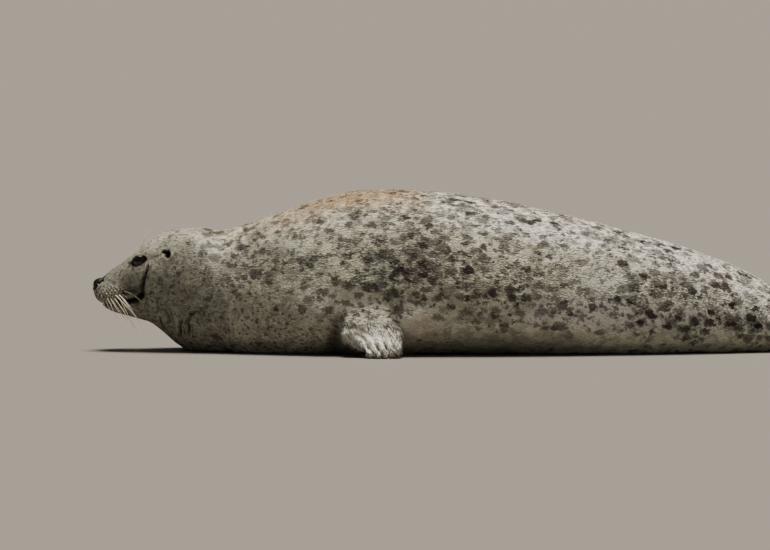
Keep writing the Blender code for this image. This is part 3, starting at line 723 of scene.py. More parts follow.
sideOf = np.sign(places[:, 1])
sideOf[sideOf == 0] = 1.0
mirror = np.stack([np.ones(pointCount), sideOf, np.ones(pointCount)], axis=1)
local = places * mirror
x, y, z = local.T
normals = normalsOf(skinMesh)
trunk = ease((x - 0.20) / 0.15)
rise = 0.0016 * wander(places, 0.17, 3) * trunk + 0.0022 * wander(places, 0.42, 5) * trunk
rise += 0.0006 * wander(places, 0.045, 8) * ease((x - 0.10) / 0.1)
for centre, reach, high in skinForms.values():
    rise += high * within(local, centre, reach)
# dark bare skin and painted shade: the nose pad, nostrils, groove under the nose, lids, ear opening and tear
# track are dark skin; the creases, the mouth's corner, the lip parting, the pit before the arm, behind the
# whiskers, between the toes and under the eye are painted shade
darkSkinAndShade = np.zeros(pointCount)
sideways = ease((y - 0.012) / 0.012)
for name, (path, depth, halfWidth, darkness) in folds.items():
    gap, share = curveDistance(x, z, path)
    taper = np.clip(np.sin(math.pi * np.clip(share, 0.04, 0.96)) * 1.6, 0, 1) * sideways
    if name == "tear track":
        taper, halfWidth = ease(share / 0.12) * sideways, halfWidth * (0.72 + 0.70 * share)
    rise -= depth * bell(gap, halfWidth) * taper
    rise += 0.35 * depth * bell(gap - 2.2 * halfWidth, halfWidth) * taper
    # painted shade along each crease, and the tear track's own wet dark
    darkSkinAndShade = np.maximum(darkSkinAndShade, darkness * ease(1.7 * bell(gap, halfWidth * 1.15)) * taper)
corner = np.zeros(pointCount)
for path, halfWidth, darkness in mouthCorner:
    gap, share = curveDistance(x, z, path)
    hollow = bell(gap, halfWidth * (1 - 0.35 * share)) * sideways
    corner = np.maximum(corner, hollow)
    # painted shade at the mouth's corner and under the lip
    darkSkinAndShade = np.maximum(darkSkinAndShade, darkness * ease((hollow - 0.22) / 0.50))
rise -= mouthCornerDepth * corner

# the parting between the lips, darkened along it with painted shade
mouthRun = 1 - ease((x - mouthForm["end"] + 0.012) / 0.012)
lipGap = np.abs(smoothLine(mouthForm["line"], np.minimum(x, mouthForm["end"])) - z)
rise -= mouthForm["slitDepth"] * mouthRun * bell(lipGap, mouthForm["slitHalfWidth"])
darkSkinAndShade = np.maximum(darkSkinAndShade, 0.95 * mouthRun * bell(lipGap, 0.0030))

# nostrils, the bare pad round them with its lighter edge, and the groove down to the lip
atFront = 1 - ease((x - 0.030) / 0.006)
slitGap = curveDistance(x, z, noseForm["slit"])[0]
offMiddle = ease((y - 0.006) / 0.005)
rise -= noseForm["slitDepth"] * bell(slitGap, noseForm["slitHalfWidth"]) * atFront * offMiddle
rise += 0.0013 * bell(slitGap - 0.0040, 0.0016) * atFront * offMiddle
padX, padZ = noseForm["padPoint"]
padSide = (x - padX) * noseForm["padWay"][0] + (z - padZ) * noseForm["padWay"][1]
pad = ease((padSide + 0.0012) / 0.0024) * ease((z - noseForm["padLow"]) / 0.003) * atFront
pad *= 1 - 0.22 * bell(padSide - 0.0036, 0.0009) * offMiddle
darkSkinAndShade = np.maximum(darkSkinAndShade, pad)
darkSkinAndShade = np.maximum(darkSkinAndShade, ease(1.5 * bell(slitGap, 0.0024)) * atFront * offMiddle)
groove = bell(y, 0.0016) * (1 - ease((x - 0.012) / 0.006)) * (z > 0.118) * (z < 0.156)
rise -= 0.0012 * groove
darkSkinAndShade = np.maximum(darkSkinAndShade, 0.7 * groove)

# whisker follicles: six rows of eight that run along the lip, each a low dome
follicleForm = {"rows": 6, "columns": 8, "firstX": 0.0150, "stepX": 0.0090, "aboveLip": 0.0125,
                "rowStep": 0.0068,
                "rise": 0.0010, "radius": 0.0024}
row, column = np.meshgrid(np.arange(follicleForm["rows"]), np.arange(follicleForm["columns"]), indexing="ij")
row, column = row.ravel(), column.ravel()
follicleX = follicleForm["firstX"] + follicleForm["stepX"] * (column + 0.5 * (row % 2)) - 0.0016 * row
follicleZ = (smoothLine(mouthForm["line"], follicleX) + follicleForm["aboveLip"]
             + follicleForm["rowStep"] * row + 0.0010 * np.sin(3.7 * column + 1.3 * row))
kept = (follicleX > 0.010) & (follicleX < 0.084) & (row + 0.5 * column < 7.6)
follicleX, follicleZ, follicleRow, follicleColumn = (v[kept] for v in (follicleX, follicleZ, row, column))
onPad = np.where((x < 0.11) & (z < 0.19) & (z > 0.095))[0]
gaps = np.hypot(x[onPad, None] - follicleX, z[onPad, None] - follicleZ).min(axis=1)
rise[onPad] += follicleForm["rise"] * bell(gaps, follicleForm["radius"]) * sideways[onPad]

# painted shade in the pit before the arm, under the shoulder, and behind the whiskers
armPit = bell((x - 0.618) / 0.030 - 0.30 * (z - 0.04) / 0.06, 1.0) * (1 - ease((z - 0.045) / 0.065))
armPit = armPit * ease((y - 0.10) / 0.05)
darkSkinAndShade = np.maximum(darkSkinAndShade, 0.78 * armPit * (1 - ease((x - 0.636) / 0.012)))
behindPad = np.exp(-(((x - 0.083) / 0.030) ** 2 + ((z - 0.126) / 0.014) ** 2))
darkSkinAndShade = np.maximum(darkSkinAndShade, 0.55 * ease(1.3 * behindPad) * sideways)

# painted shade in the gaps between the toes and in the hollow behind the heel
toeStep = toePlaces[1] - toePlaces[0]
toeGap = (0.5 - 0.5 * np.cos(2 * math.pi * limbAcross / toeStep)) * ease((limbShare - 0.885) / 0.06)
toeGap *= (np.abs(limbAcross) < 0.86) * ease((limbFace - 0.10) / 0.30)
toeGap = ease((toeGap - 0.76) / 0.22)
heelGap = bell(x - 0.6800, 0.0075) * bell(z - 0.013, 0.016) * ease((y - 0.25) / 0.02)
darkSkinAndShade = np.maximum(darkSkinAndShade, np.where(x < 1.2, 0.88, 0.40) * toeGap)
darkSkinAndShade = np.maximum(darkSkinAndShade, 0.85 * ease(1.4 * heelGap))

# ear: a pit with a raised rim in front of and below it
earAway = np.full(pointCount, 9.0)
for earX, earZ, halfLong, halfTall in earForm["ovals"]:
    earAway = np.minimum(earAway, np.hypot((x - earX) / halfLong, (z - earZ) / halfTall))
onEarSide = ease((y - 0.03) / 0.01)
earPit = (1 - ease((earAway - 0.55) / 0.60)) * onEarSide
rimGap, rimShare = curveDistance(x, z, earForm["rim"])
rimTaper = np.sin(math.pi * np.clip(rimShare, 0.03, 0.97)) * onEarSide
rise -= earForm["depth"] * earPit
rise += earForm["rimRise"] * bell(rimGap, 0.0026) * rimTaper + 0.0005 * bell(earAway - 1.35, 0.28) * onEarSide
darkSkinAndShade = np.maximum(darkSkinAndShade, ease((earPit - 0.12) / 0.35))

places = places + normals * rise[:, None]
mirrored = places * mirror
nearEye = np.linalg.norm(mirrored - eyeCentre, axis=1) < 0.06
lidded, eyeA, eyeB, lidReach = liddedPoints(mirrored[nearEye])
mirrored[nearEye] = lidded
places = mirrored * mirror
places[:, 2] = np.maximum(places[:, 2], skinForm["floorGap"])
eyeGap, darkGap = np.full(pointCount, 1.0), np.full(pointCount, 1.0)
eyeGap[nearEye] = np.where(lidReach > 0.3, almond(eyeA, eyeB, eyeForm["opening"]), 1.0)
darkGap[nearEye] = np.where(lidReach > 0.3, almond(eyeA, eyeB, eyeForm["dark"]), 1.0)
lidDark = 1 - ease((darkGap + 0.0008) / 0.0020)
inFront = bell(x - 0.0965, 0.0062) * bell(z - 0.2215, 0.0036) * sideways
# painted shade under the eye, below the lower lid
paintedShadeUnderEye = np.zeros(pointCount)
paintedShadeUnderEye[nearEye] = 0.72 * (1 - ease(darkGap[nearEye] / 0.0115)) * ease((0.008 - eyeB) / 0.012)
darkSkinAndShade = np.maximum(darkSkinAndShade, np.maximum(np.maximum(lidDark, paintedShadeUnderEye), 0.95 * ease(inFront * 1.7)))
setPoints(skinMesh, places)

print("stage: where the coat is marked, pale, sandy or bare")

markForm = {
    # how densely marked, along the body and up its side; below the low line there is little
    "along": ((0.0, 0.0), (0.17, 0.04), (0.25, 0.18), (0.30, 0.74), (0.38, 0.86), (0.50, 0.64), (0.62, 0.68),
              (0.76, 1.00), (0.98, 0.98), (1.12, 0.90), (1.28, 0.96), (1.40, 1.20), (1.8, 1.20)),
    "lowLine": ((0.15, 0.255), (0.24, 0.225), (0.31, 0.170), (0.45, 0.120), (0.60, 0.060), (0.72, 0.075),
                (0.80, 0.070), (1.0, 0.040), (1.3, 0.025), (1.8, 0.000)),
    "headEdge": ((0.0, 0.320), (0.10, 0.315), (0.20, 0.285), (0.26, 0.246), (0.31, 0.208)),
}
# Soft patches on the side, each as its strength, then its place and reach in x and in z: single ones, then
# where there are more markings or fewer, where the hair is paler low down, and how much dimmer it is in
# broad areas, which is painted shade (a strength below nought paints it lighter).
onePatch = {
    "sandy behind the arm": (0.45, 0.825, 0.035, 0.085, 0.040),
    "pale nape": (0.9, 0.300, 0.050, 0.262, 0.030),
    "pale pad": (1.0, 0.046, 0.030, 0.150, 0.017),
    "dim side of the muzzle": (0.30, 0.080, 0.040, 0.180, 0.034),
    "clearer far flank": (0.20, 1.29, 0.08, 0.175, 0.05),
}
markPatches = {
    "over the shoulder": (0.35, 0.71, 0.10, 0.235, 0.045), "hindquarters": (0.30, 1.50, 0.12, 0.160, 0.05),
    "far flank": (-0.40, 1.20, 0.10, 0.180, 0.05), "behind the arm": (-0.45, 0.83, 0.06, 0.095, 0.05),
    "over the arm": (-0.40, 0.655, 0.06, 0.155, 0.030),
}
palePatches = {
    "over the arm": (0.46, 0.690, 0.070, 0.130, 0.050), "behind the arm": (0.80, 0.815, 0.050, 0.095, 0.045),
    "before the arm": (0.75, 0.560, 0.060, 0.140, 0.040),
}
dimPatches = {
    "side of the neck": (0.55, 0.435, 0.075, 0.245, 0.055), "shoulder": (0.18, 0.520, 0.080, 0.230, 0.060),
    "saddle": (0.62, 0.790, 0.120, 0.245, 0.070), "low flank": (0.38, 1.050, 0.220, 0.030, 0.040),
    "whisker pad": (0.34, 0.050, 0.030, 0.157, 0.028),
    "far flank, paler": (-0.75, 1.290, 0.090, 0.175, 0.050),
}
x, y, z = np.abs(places).T


# a patch at the points: strength times a bell along x and one along z
def patchOf(strength, atX, reachX, atZ, reachZ):
    return strength * bell(x - atX, reachX) * bell(z - atZ, reachZ)


backZ = smoothLine(bodyForm["backLine"], x)
onLimb = (limbOf > 0).astype(float)[:, None]
limbBlend = np.clip(relaxed(onLimb, edges, np.full(pointCount, 0.7), 10)[:, 0], 0, 1)
foreLimb = limbBlend * (x < 1.2)
hindLimb = limbBlend * (x > 1.2)
hand = foreLimb * (1 - ease((z - 0.052) / 0.032))
forearm = foreLimb * (1 - ease((z - 0.060) / 0.040))
aboveLow = z - smoothLine(markForm["lowLine"], x)
marked = smoothLine(markForm["along"], x) * (0.22 + 0.78 * ease(aboveLow / 0.085))
marked = marked * (1 - 0.45 * hand) * (1 - 0.35 * hindLimb) + 0.45 * foreLimb * (1 - hand)
marked += 0.18 * wander(places, 0.13, 12) * ease((x - 0.22) / 0.1)
for patch in markPatches.values():
    marked += patchOf(*patch)
headTone = 1 - ease((x - smoothLine(markForm["headEdge"], z)) / 0.060)
chest = (1 - headTone) * (1 - ease(aboveLow / 0.08)) * (1 - ease((x - 0.45) / 0.35))
# the head's grey fades on the crown: partly paler hair, partly a painted highlight on the top of the head
headTone = headTone * (1 - 0.64 * ease((z - backZ + 0.066) / 0.050) * ease((x - 0.10) / 0.06))
sandEdge = 0.79 + 0.05 * wander(places, 0.07, 19)     # it ends in an uneven line over the back
sandy = 1.1 * bell(x - 0.66, 0.26) * ease((z - backZ + 0.062) / 0.045)
sandy = sandy * (1 - foreLimb) * (1 - ease((x - sandEdge) / 0.13))
sandy *= 0.90 + 0.12 * wander(places, 0.10, 17)
marked = marked * (1 - 0.45 * np.clip(sandy, 0, 1))
sandy = np.maximum(sandy, 0.45 * bell(x - 1.10, 0.22) * ease((z - backZ + 0.016) / 0.014))
sandy = np.maximum(sandy, patchOf(*onePatch["sandy behind the arm"]))
pale = patchOf(*onePatch["pale nape"])
pale = np.maximum(pale, 0.96 * forearm + 0.2 * foreLimb * ease((limbShare - 0.80) / 0.12))
trailing = foreLimb * ease((limbAcross - 0.40) / 0.35) * bell(z - 0.055, 0.030)
pale = np.maximum(pale, trailing)
# paler up the back: partly the hair's own tone, partly a painted highlight on the top that faces the light
backPale = ease((x - 0.80) / 0.10)
upTheBack = ease((z - backZ + 0.080 + 0.030 * backPale) / 0.070) * ease((x - 0.30) / 0.3)
pale = np.maximum(pale, (0.30 + 0.70 * backPale) * upTheBack)
earRim = 0.80 * bell(rimGap, 0.0017) * rimTaper
pale = np.maximum(pale, earRim)
padPale = patchOf(*onePatch["pale pad"]) * ease((y - 0.012) / 0.012)
pale = np.maximum(pale, 0.50 * padPale)
headTone = headTone * (1 - 0.65 * padPale) * (1 - 0.9 * earRim)
# painted shade: less pale in the pit before the flipper, low down, on the throat, under the chest and on the
# lower sides of the head and muzzle. What goes below nought here is cut off again by the maxima that follow.
pale -= 0.9 * bell(x - 0.612, 0.030) * (1 - ease((z - 0.050) / 0.055)) * (1 - foreLimb)
lowDown = (1 - ease((z - 0.01) / 0.115)) * (1 - 0.85 * ease((x - 1.05) / 0.30))
pale -= 0.42 * lowDown * (1 - hand) * (1 - hindLimb)
pale += 0.85 * bell(z - 0.100, 0.045) * ease((x - 0.95) / 0.20) * (1 - hindLimb)
pale -= 0.60 * bell(x - 0.560, 0.090) * (1 - ease((z - 0.030) / 0.055)) * (1 - foreLimb)
pale -= 0.22 * headTone * (1 - ease((z - 0.14) / 0.07))
pale -= patchOf(*onePatch["dim side of the muzzle"])
# fewer marks and paler hair along the ridge of the hindquarters: partly a painted highlight along the lit
# ridge
ridgeTop = ease((z - backZ + 0.020) / 0.018) * ease((x - 1.12) / 0.16) * (1 - hindLimb)
marked = marked * (1 - 0.45 * ridgeTop) - patchOf(*onePatch["clearer far flank"])
pale = np.maximum(pale, 0.7 * ridgeTop)
for patch in palePatches.values():
    pale = np.maximum(pale, patchOf(*patch) * ease((y - 0.15) / 0.05))
# below nought, the hair is mixed with the under colour, which is darker: painted shade in these broad patches
for patch in dimPatches.values():
    pale -= patchOf(*patch) * (1 - foreLimb)
toneMap = np.stack([np.clip(marked, 0, 1), np.clip(headTone + 0.45 * chest, 0, 1), np.clip(sandy, 0, 1),
                    np.clip(darkSkinAndShade, 0, 1)], axis=1)
setAttribute(skinMesh, "toneMap", "FLOAT_COLOR", toneMap)
setAttribute(skinMesh, "pale", "FLOAT", np.clip(pale, -1, 1))
setAttribute(skinMesh, "place", "FLOAT_VECTOR", places)

print("stage: colours and materials")


# an sRGB hex colour as linear values
def linear(text):
    value = np.array([int(text[k:k + 2], 16) for k in (1, 3, 5)]) / 255
    value = np.where(value <= 0.04045, value / 12.92, ((value + 0.055) / 1.055) ** 2.4)
    return (*value.tolist(), 1.0)


# adds a node: settings are its own properties, inputs are sockets to link from or plain values. It gives
# back the output named or numbered by out, or the node itself.
def node(tree, kind, inputs=None, out=None, **settings):
    made = tree.nodes.new("ShaderNode" + kind)
    for key, value in settings.items():
        setattr(made, key, value)
    for key, value in (inputs or {}).items():
        if isinstance(value, bpy.types.NodeSocket):
            tree.links.new(value, made.inputs[key])
        else:
            made.inputs[key].default_value = value
    return made if out is None else made.outputs[out]


# settings that many nodes share
times, timesPlus = {"operation": "MULTIPLY"}, {"operation": "MULTIPLY_ADD"}
most, less = {"operation": "MAXIMUM"}, {"operation": "SUBTRACT"}
colourMix, softStep = {"data_type": "RGBA"}, {"interpolation_type": "SMOOTHSTEP"}


def newMaterial(name):
    made = bpy.data.materials.new(name)
    made.use_nodes = True
    made.node_tree.nodes.clear()
    return made, partial(node, made.node_tree)


# Seal coat: short stiff guard hairs, dry on top and dull, each hair flattened. The eye sees a pale
# ground with ragged dark blots drawn out along the lie of the hair, and a fine streak over all.
coatLook = {
    # under is the darker tone for painted shade, where pale goes below nought, and for the head's freckles
    "cream": "#dadac5", "palest": "#f6f4ea", "headTone": "#9d9c8e", "sand": "#bf9f74", "under": "#54544b",
    "spot": "#121111", "brownSpot": "#352926", "shade": "#7f7e75", "darkSkinAndShadeTone": "#0a0909", "stain": "#8f7d66",
    "blotchCell": 0.046, "blotchSize": 0.58, "spotCell": 0.0232, "spotSize": 0.66, "fleckCell": 0.0132,
    "fleckSize": 0.64, "mottle": 0.024, "speckle": 0.0085, "freckle": 0.0090, "freckleDark": 0.75,
    "uneven": 0.05, "headUneven": 0.30, "patchScale": 13.0, "stainScale": 28.0, "poreScale": 900.0,
    "wavySize": 0.014, "wavyReach": 0.0165, "drawnOut": 1.45, "slope": 0.14,
    "hairWidth": 0.0016, "hairLength": 0.018, "roughness": 0.66, "wetRoughness": 0.32, "sheen": 0.03,
    "sheenTint": "#e8e2d0", "specular": 0.18,
}


def coatMaterial(name, forTufts):
    look = coatLook
    made, add = newMaterial(name)
    colours = {key: linear(value) for key, value in look.items() if str(value).startswith("#")}
    place = add("Attribute", out="Vector", attribute_name="place")
    tone = add("Attribute", attribute_name="toneMap")
    marks, head, sand = add("SeparateColor", {"Color": tone.outputs["Color"]}).outputs[:3]
    darkSkinAndShadeShare = tone.outputs["Alpha"]
    paleness = add("Attribute", out="Fac", attribute_name="pale")

    # the hair's lie: the pattern is turned to slope down towards the tail and drawn out that way
    wave = add("TexNoise", {"Vector": place, "Scale": 1 / look["wavySize"], "Detail": 4.0, "Roughness": 0.62},
               "Color")
    centred = add("VectorMath", {0: wave, 1: (0.5, 0.5, 0.5)}, 0, **less)
    shift = add("VectorMath", {0: centred, "Scale": 2 * look["wavyReach"]}, 0, operation="SCALE")
    waved = add("VectorMath", {0: place, 1: shift}, 0, operation="ADD")
    along = add("Mapping", {"Vector": waved, "Rotation": (0.0, look["slope"], 0.0),
                            "Scale": (look["drawnOut"], 1.0, 1.0)}, 0, vector_type="TEXTURE")
    patches = add("TexNoise", {"Vector": place, "Scale": look["patchScale"], "Detail": 2.0}, "Fac")
    grouped = add("Math", {0: patches, 1: 2.2, 2: 0.22}, 0, **timesPlus)
    crowded = add("Math", {0: marks, 1: grouped}, 0, **times)

    # One layer of spots: every cell has a spot if its own chance is under how crowded it is here, the
    # larger the further under. A spot is darkest in its middle and fades out to its edge.
    def spots(cell, size, share, rarer=0.0):
        cells = add("TexVoronoi", {"Vector": along, "Scale": 1 / cell, "Randomness": 1.0})
        chance, ownSize, ownDark = add("SeparateColor", {"Color": cells.outputs["Color"]}).outputs[:3]
        wanted = add("Math", {0: crowded, 1: share, 2: -rarer}, 0, **timesPlus)
        over = add("Math", {0: wanted, 1: chance}, 0, **less)
        grown = add("MapRange", {"Value": over, "From Min": 0.0, "From Max": 0.34}, "Result")
        full = add("Math", {0: ownSize, 1: 0.45 * size, 2: 0.72 * size}, 0, **timesPlus)
        radius = add("Math", {0: add("Math", {0: grown, 1: 0.45}, 0, operation="POWER"), 1: full}, 0, **times)
        atLeast = add("Math", {0: radius, 1: 0.001}, 0, **most)
        outwards = add("Math", {0: cells.outputs["Distance"], 1: atLeast}, 0, operation="DIVIDE")
        inside = add("Math", {0: 1.0, 1: outwards}, 0, **less)
        soft = add("MapRange", {"Value": inside, "From Min": 0.0, "From Max": 0.50}, "Result", **softStep)
        strong = add("Math", {0: ownDark, 1: 0.34, 2: 0.66}, 0, **timesPlus)
        return add("Math", {0: soft, 1: strong}, 0, **times)

    # spots 10 to 22 mm across, flecks half that size, and a few blotches of 30 mm where it is darkest
    flecks = add("Math", {0: spots(look["fleckCell"], look["fleckSize"], 0.80), 1: 0.88}, 0, **times)
    mask = add("Math", {0: spots(look["spotCell"], look["spotSize"], 0.95), 1: flecks}, 0, **most)
    mottle = add("TexNoise", {"Vector": along, "Scale": 1 / look["mottle"], "Detail": 2.0, "Roughness": 0.5},
                 "Fac")
    holes = add("TexNoise", {"Vector": along, "Scale": 2.2 / look["mottle"], "Detail": 2.0}, "Fac")
    broken = add("MapRange", {"Value": holes, "From Min": 0.34, "From Max": 0.56}, "Result", **softStep)
    blotches = spots(look["blotchCell"], look["blotchSize"], 0.66, 0.42)
    mask = add("Math", {0: mask, 1: add("Math", {0: blotches, 1: broken}, 0, **times)}, 0, **most)
    mask = add("Math", {0: mask, 1: add("Math", {0: marks, 1: 0.40, 2: 0.60}, 0, **timesPlus)}, 0, **times)
    # grey mottling and stains, which leave the palest hair nearly clean
    clean = add("Math", {0: add("Math", {0: paleness, 1: 0.0}, 0, **most), 1: -0.90, 2: 1.0}, 0, **timesPlus)
    mottled = add("MapRange", {"Value": mottle, "From Min": 0.42, "From Max": 0.62}, "Result", **softStep)
    greyer = add("Math", {0: marks, 1: 0.30, 2: 0.40}, 0, **timesPlus)
    greyed = add("Math", {0: mottled, 1: greyer}, 0, **times)
    greyed = add("Math", {0: greyed, 1: clean}, 0, **times)
    stains = add("TexNoise", {"Vector": place, "Scale": look["stainScale"], "Detail": 3.0, "Roughness": 0.6},
                 "Fac")
    stained = add("MapRange", {"Value": stains, "From Min": 0.50, "From Max": 0.72}, "Result", **softStep)
    stained = add("Math", {0: add("Math", {0: stained, 1: 0.40}, 0, **times), 1: clean}, 0, **times)
    # a fine unevenness, strongest on the head, and the head's freckles
    speckle = add("TexNoise",
                  {"Vector": along, "Scale": 1 / look["speckle"], "Detail": 3.0, "Roughness": 0.6},
                  "Fac")
    swing = add("MapRange", {"Value": speckle, "From Min": 0.36, "From Max": 0.64, "To Min": -1.0,
                             "To Max": 1.0},
                "Result")
    strength = add("Math", {0: head, 1: look["headUneven"], 2: look["uneven"]}, 0, **timesPlus)
    uneven = add("Math", {0: swing, 1: strength, 2: 1.0}, 0, **timesPlus)
    freckle = add("TexNoise", {"Vector": place, "Scale": 1 / look["freckle"], "Detail": 2.0}, "Fac")
    freckled = add("MapRange", {"Value": freckle, "From Min": 0.54, "From Max": 0.64}, "Result", **softStep)
    onHead = add("MapRange", {"Value": head, "From Min": 0.02, "From Max": 0.40}, "Result", **softStep)
    headFreckles = add("Math", {0: onHead, 1: look["freckleDark"]}, 0, **times)
    freckles = add("Math", {0: freckled, 1: headFreckles}, 0, **times)

    # the ground colour, laid over in turn by each tone and its share
    ground = colours["cream"]
    sandShare = add("Math", {0: sand, 1: 0.88}, 0, **times)
    dimShare = add("Math", {0: paleness, 1: -1.0}, 0, **times)
    for share, tint in ((paleness, "palest"), (head, "headTone"), (sandShare, "sand"), (greyed, "shade"),
                        (stained, "stain"), (dimShare, "under"), (freckles, "under")):
        ground = add("Mix", {0: share, 6: ground, 7: colours[tint]}, 2, **colourMix)
    blacker = add("MapRange", {"Value": patches, "From Min": 0.44, "From Max": 0.64}, "Result", **softStep)
    spotColour = add("Mix", {0: blacker, 6: colours["brownSpot"], 7: colours["spot"]}, 2, **colourMix)
    ground = add("VectorMath", {0: ground, "Scale": uneven}, 0, operation="SCALE")
    spotted = add("Mix", {0: mask, 6: ground, 7: spotColour}, 2, **colourMix)
    if forTufts:
        strand = add("SeparateXYZ", {0: add("Attribute", out="Vector", attribute_name="strand")})
        own = add("MapRange", {"Value": strand.outputs[0], "To Min": 0.95, "To Max": 1.05}, "Result",
                  clamp=False)
        # along each lock: darker at the root, a painted shade of the hair lying over it, and a little lighter
        # at the tip
        tip = add("MapRange", {"Value": strand.outputs[1], "To Min": 0.92, "To Max": 1.05}, "Result")
        lightness = add("Math", {0: own, 1: tip}, 0, **times)
    else:
        # hairs: a streak far longer than wide, drawn a little coarser than life so that it shows
        streakPlace = add("Mapping", {"Vector": place, "Rotation": (0.0, look["slope"], 0.0),
                                      "Scale": (look["hairLength"] / look["hairWidth"], 1.0, 1.0)}, 0,
                          vector_type="TEXTURE")
        streak = add("TexNoise", {"Vector": streakPlace, "Scale": 1 / look["hairWidth"], "Detail": 2.0},
                     "Fac")
        lightness = add("MapRange", {"Value": streak, "From Min": 0.3, "From Max": 0.7, "To Min": 0.90,
                                     "To Max": 1.08}, "Result")
    shaded = add("VectorMath", {0: spotted, "Scale": lightness}, 0, operation="SCALE")
    # the near-black tone lays dark bare skin, and painted shade in creases and hollows
    colour = add("Mix", {0: darkSkinAndShadeShare, 6: shaded, 7: colours["darkSkinAndShadeTone"]}, 2, **colourMix)
    rough = add("MapRange", {"Value": darkSkinAndShadeShare, "To Min": look["roughness"], "To Max": look["wetRoughness"]},
                "Result")
    inputs = {"Base Color": colour, "Roughness": rough, "IOR": 1.45, "Sheen Weight": look["sheen"],
              "Sheen Roughness": 0.5, "Sheen Tint": colours["sheenTint"],
              "Specular IOR Level": look["specular"]}
    if not forTufts:
        pores = add("TexNoise", {"Vector": place, "Scale": look["poreScale"], "Detail": 2.0}, "Fac")
        relief = add("Mix", {0: darkSkinAndShadeShare, 6: streak, 7: pores}, 2, **colourMix)
        inputs["Normal"] = add("Bump", {"Height": relief, "Strength": 0.55, "Distance": 0.0009}, 0)
    add("OutputMaterial", {"Surface": add("BsdfPrincipled", inputs, 0)})
    return made


hideMaterial = coatMaterial("seal_hide_under_short_fur", False)
tuftMaterial = coatMaterial("seal_guard_hair", True)
skinMesh.materials.clear()
skinMesh.materials.append(hideMaterial)
skinMesh.polygons.foreach_set("material_index", np.zeros(len(skinMesh.polygons), np.int32))


# everything is worked out from the nose; this puts a finished mesh at its place in the frame
def placeInFrame(obj):
    co = pointsOf(obj.data)
    co[:, 0] += noseX
    setPoints(obj.data, co)
    return obj


def finished(obj, material):
    obj.data.materials.append(material)
    return placeInFrame(obj)


skinTree = BVHTree.FromPolygons(places.tolist(), [list(p.vertices) for p in skinMesh.polygons])

print("stage: the coat's tufts")

coatForm = {
    # one tuft is a flat three-sided lock: lengths and widths along the body (x, value)
    "length": ((0.0, 0.0030), (0.05, 0.0042), (0.12, 0.0060), (0.20, 0.0082), (0.30, 0.0112), (0.50, 0.0130),
               (1.8, 0.0130)),
    "width": ((0.0, 0.0008), (0.05, 0.0010), (0.12, 0.0014), (0.20, 0.0018), (0.30, 0.0022), (0.50, 0.0025),
              (1.8, 0.0025)),
    "lift": ((0.0, 0.0001), (0.12, 0.0002), (0.30, 0.0003), (0.50, 0.0003), (1.8, 0.0003)),
    "onHand": {"length": 0.0170, "width": 0.0021, "lift": 0.0009},
    "onHind": {"length": 0.0120, "width": 0.0022, "lift": 0.0009},
    "ownPlace": 0.80,      # how far a tuft's colour follows the pattern along it, against its root's
    "cover": 1.0, "thin": 0.042, "sink": 0.0006, "spread": 0.16, "slope": -0.22,
    "mostInPiece": 19400,
}


# The way the hair lies at each point: straight back and a little down on the body, towards the toes on the
# flippers, smoothed where they meet and laid flat on the surface.
def hairWays(points, normals):
    lie = np.tile(np.array([1.0, 0.0, coatForm["slope"]]), (len(points), 1))
    turned = np.stack([np.full(len(points), 0.24), 0.60 * sideOf, np.full(len(points), -0.85)], axis=1)
    ontoHand = foreLimb * (1 - ease((z - 0.050) / 0.075))
    lie = lie * (1 - ontoHand[:, None]) + turned * ontoHand[:, None]
    lie = lie * (1 - hindLimb[:, None]) + np.array([1.0, 0.0, 0.0]) * hindLimb[:, None]
    lie = relaxed(lie, edges, np.full(len(points), 0.6), 12)
    lie -= normals * (lie * normals).sum(axis=1, keepdims=True)
    return unit(lie)


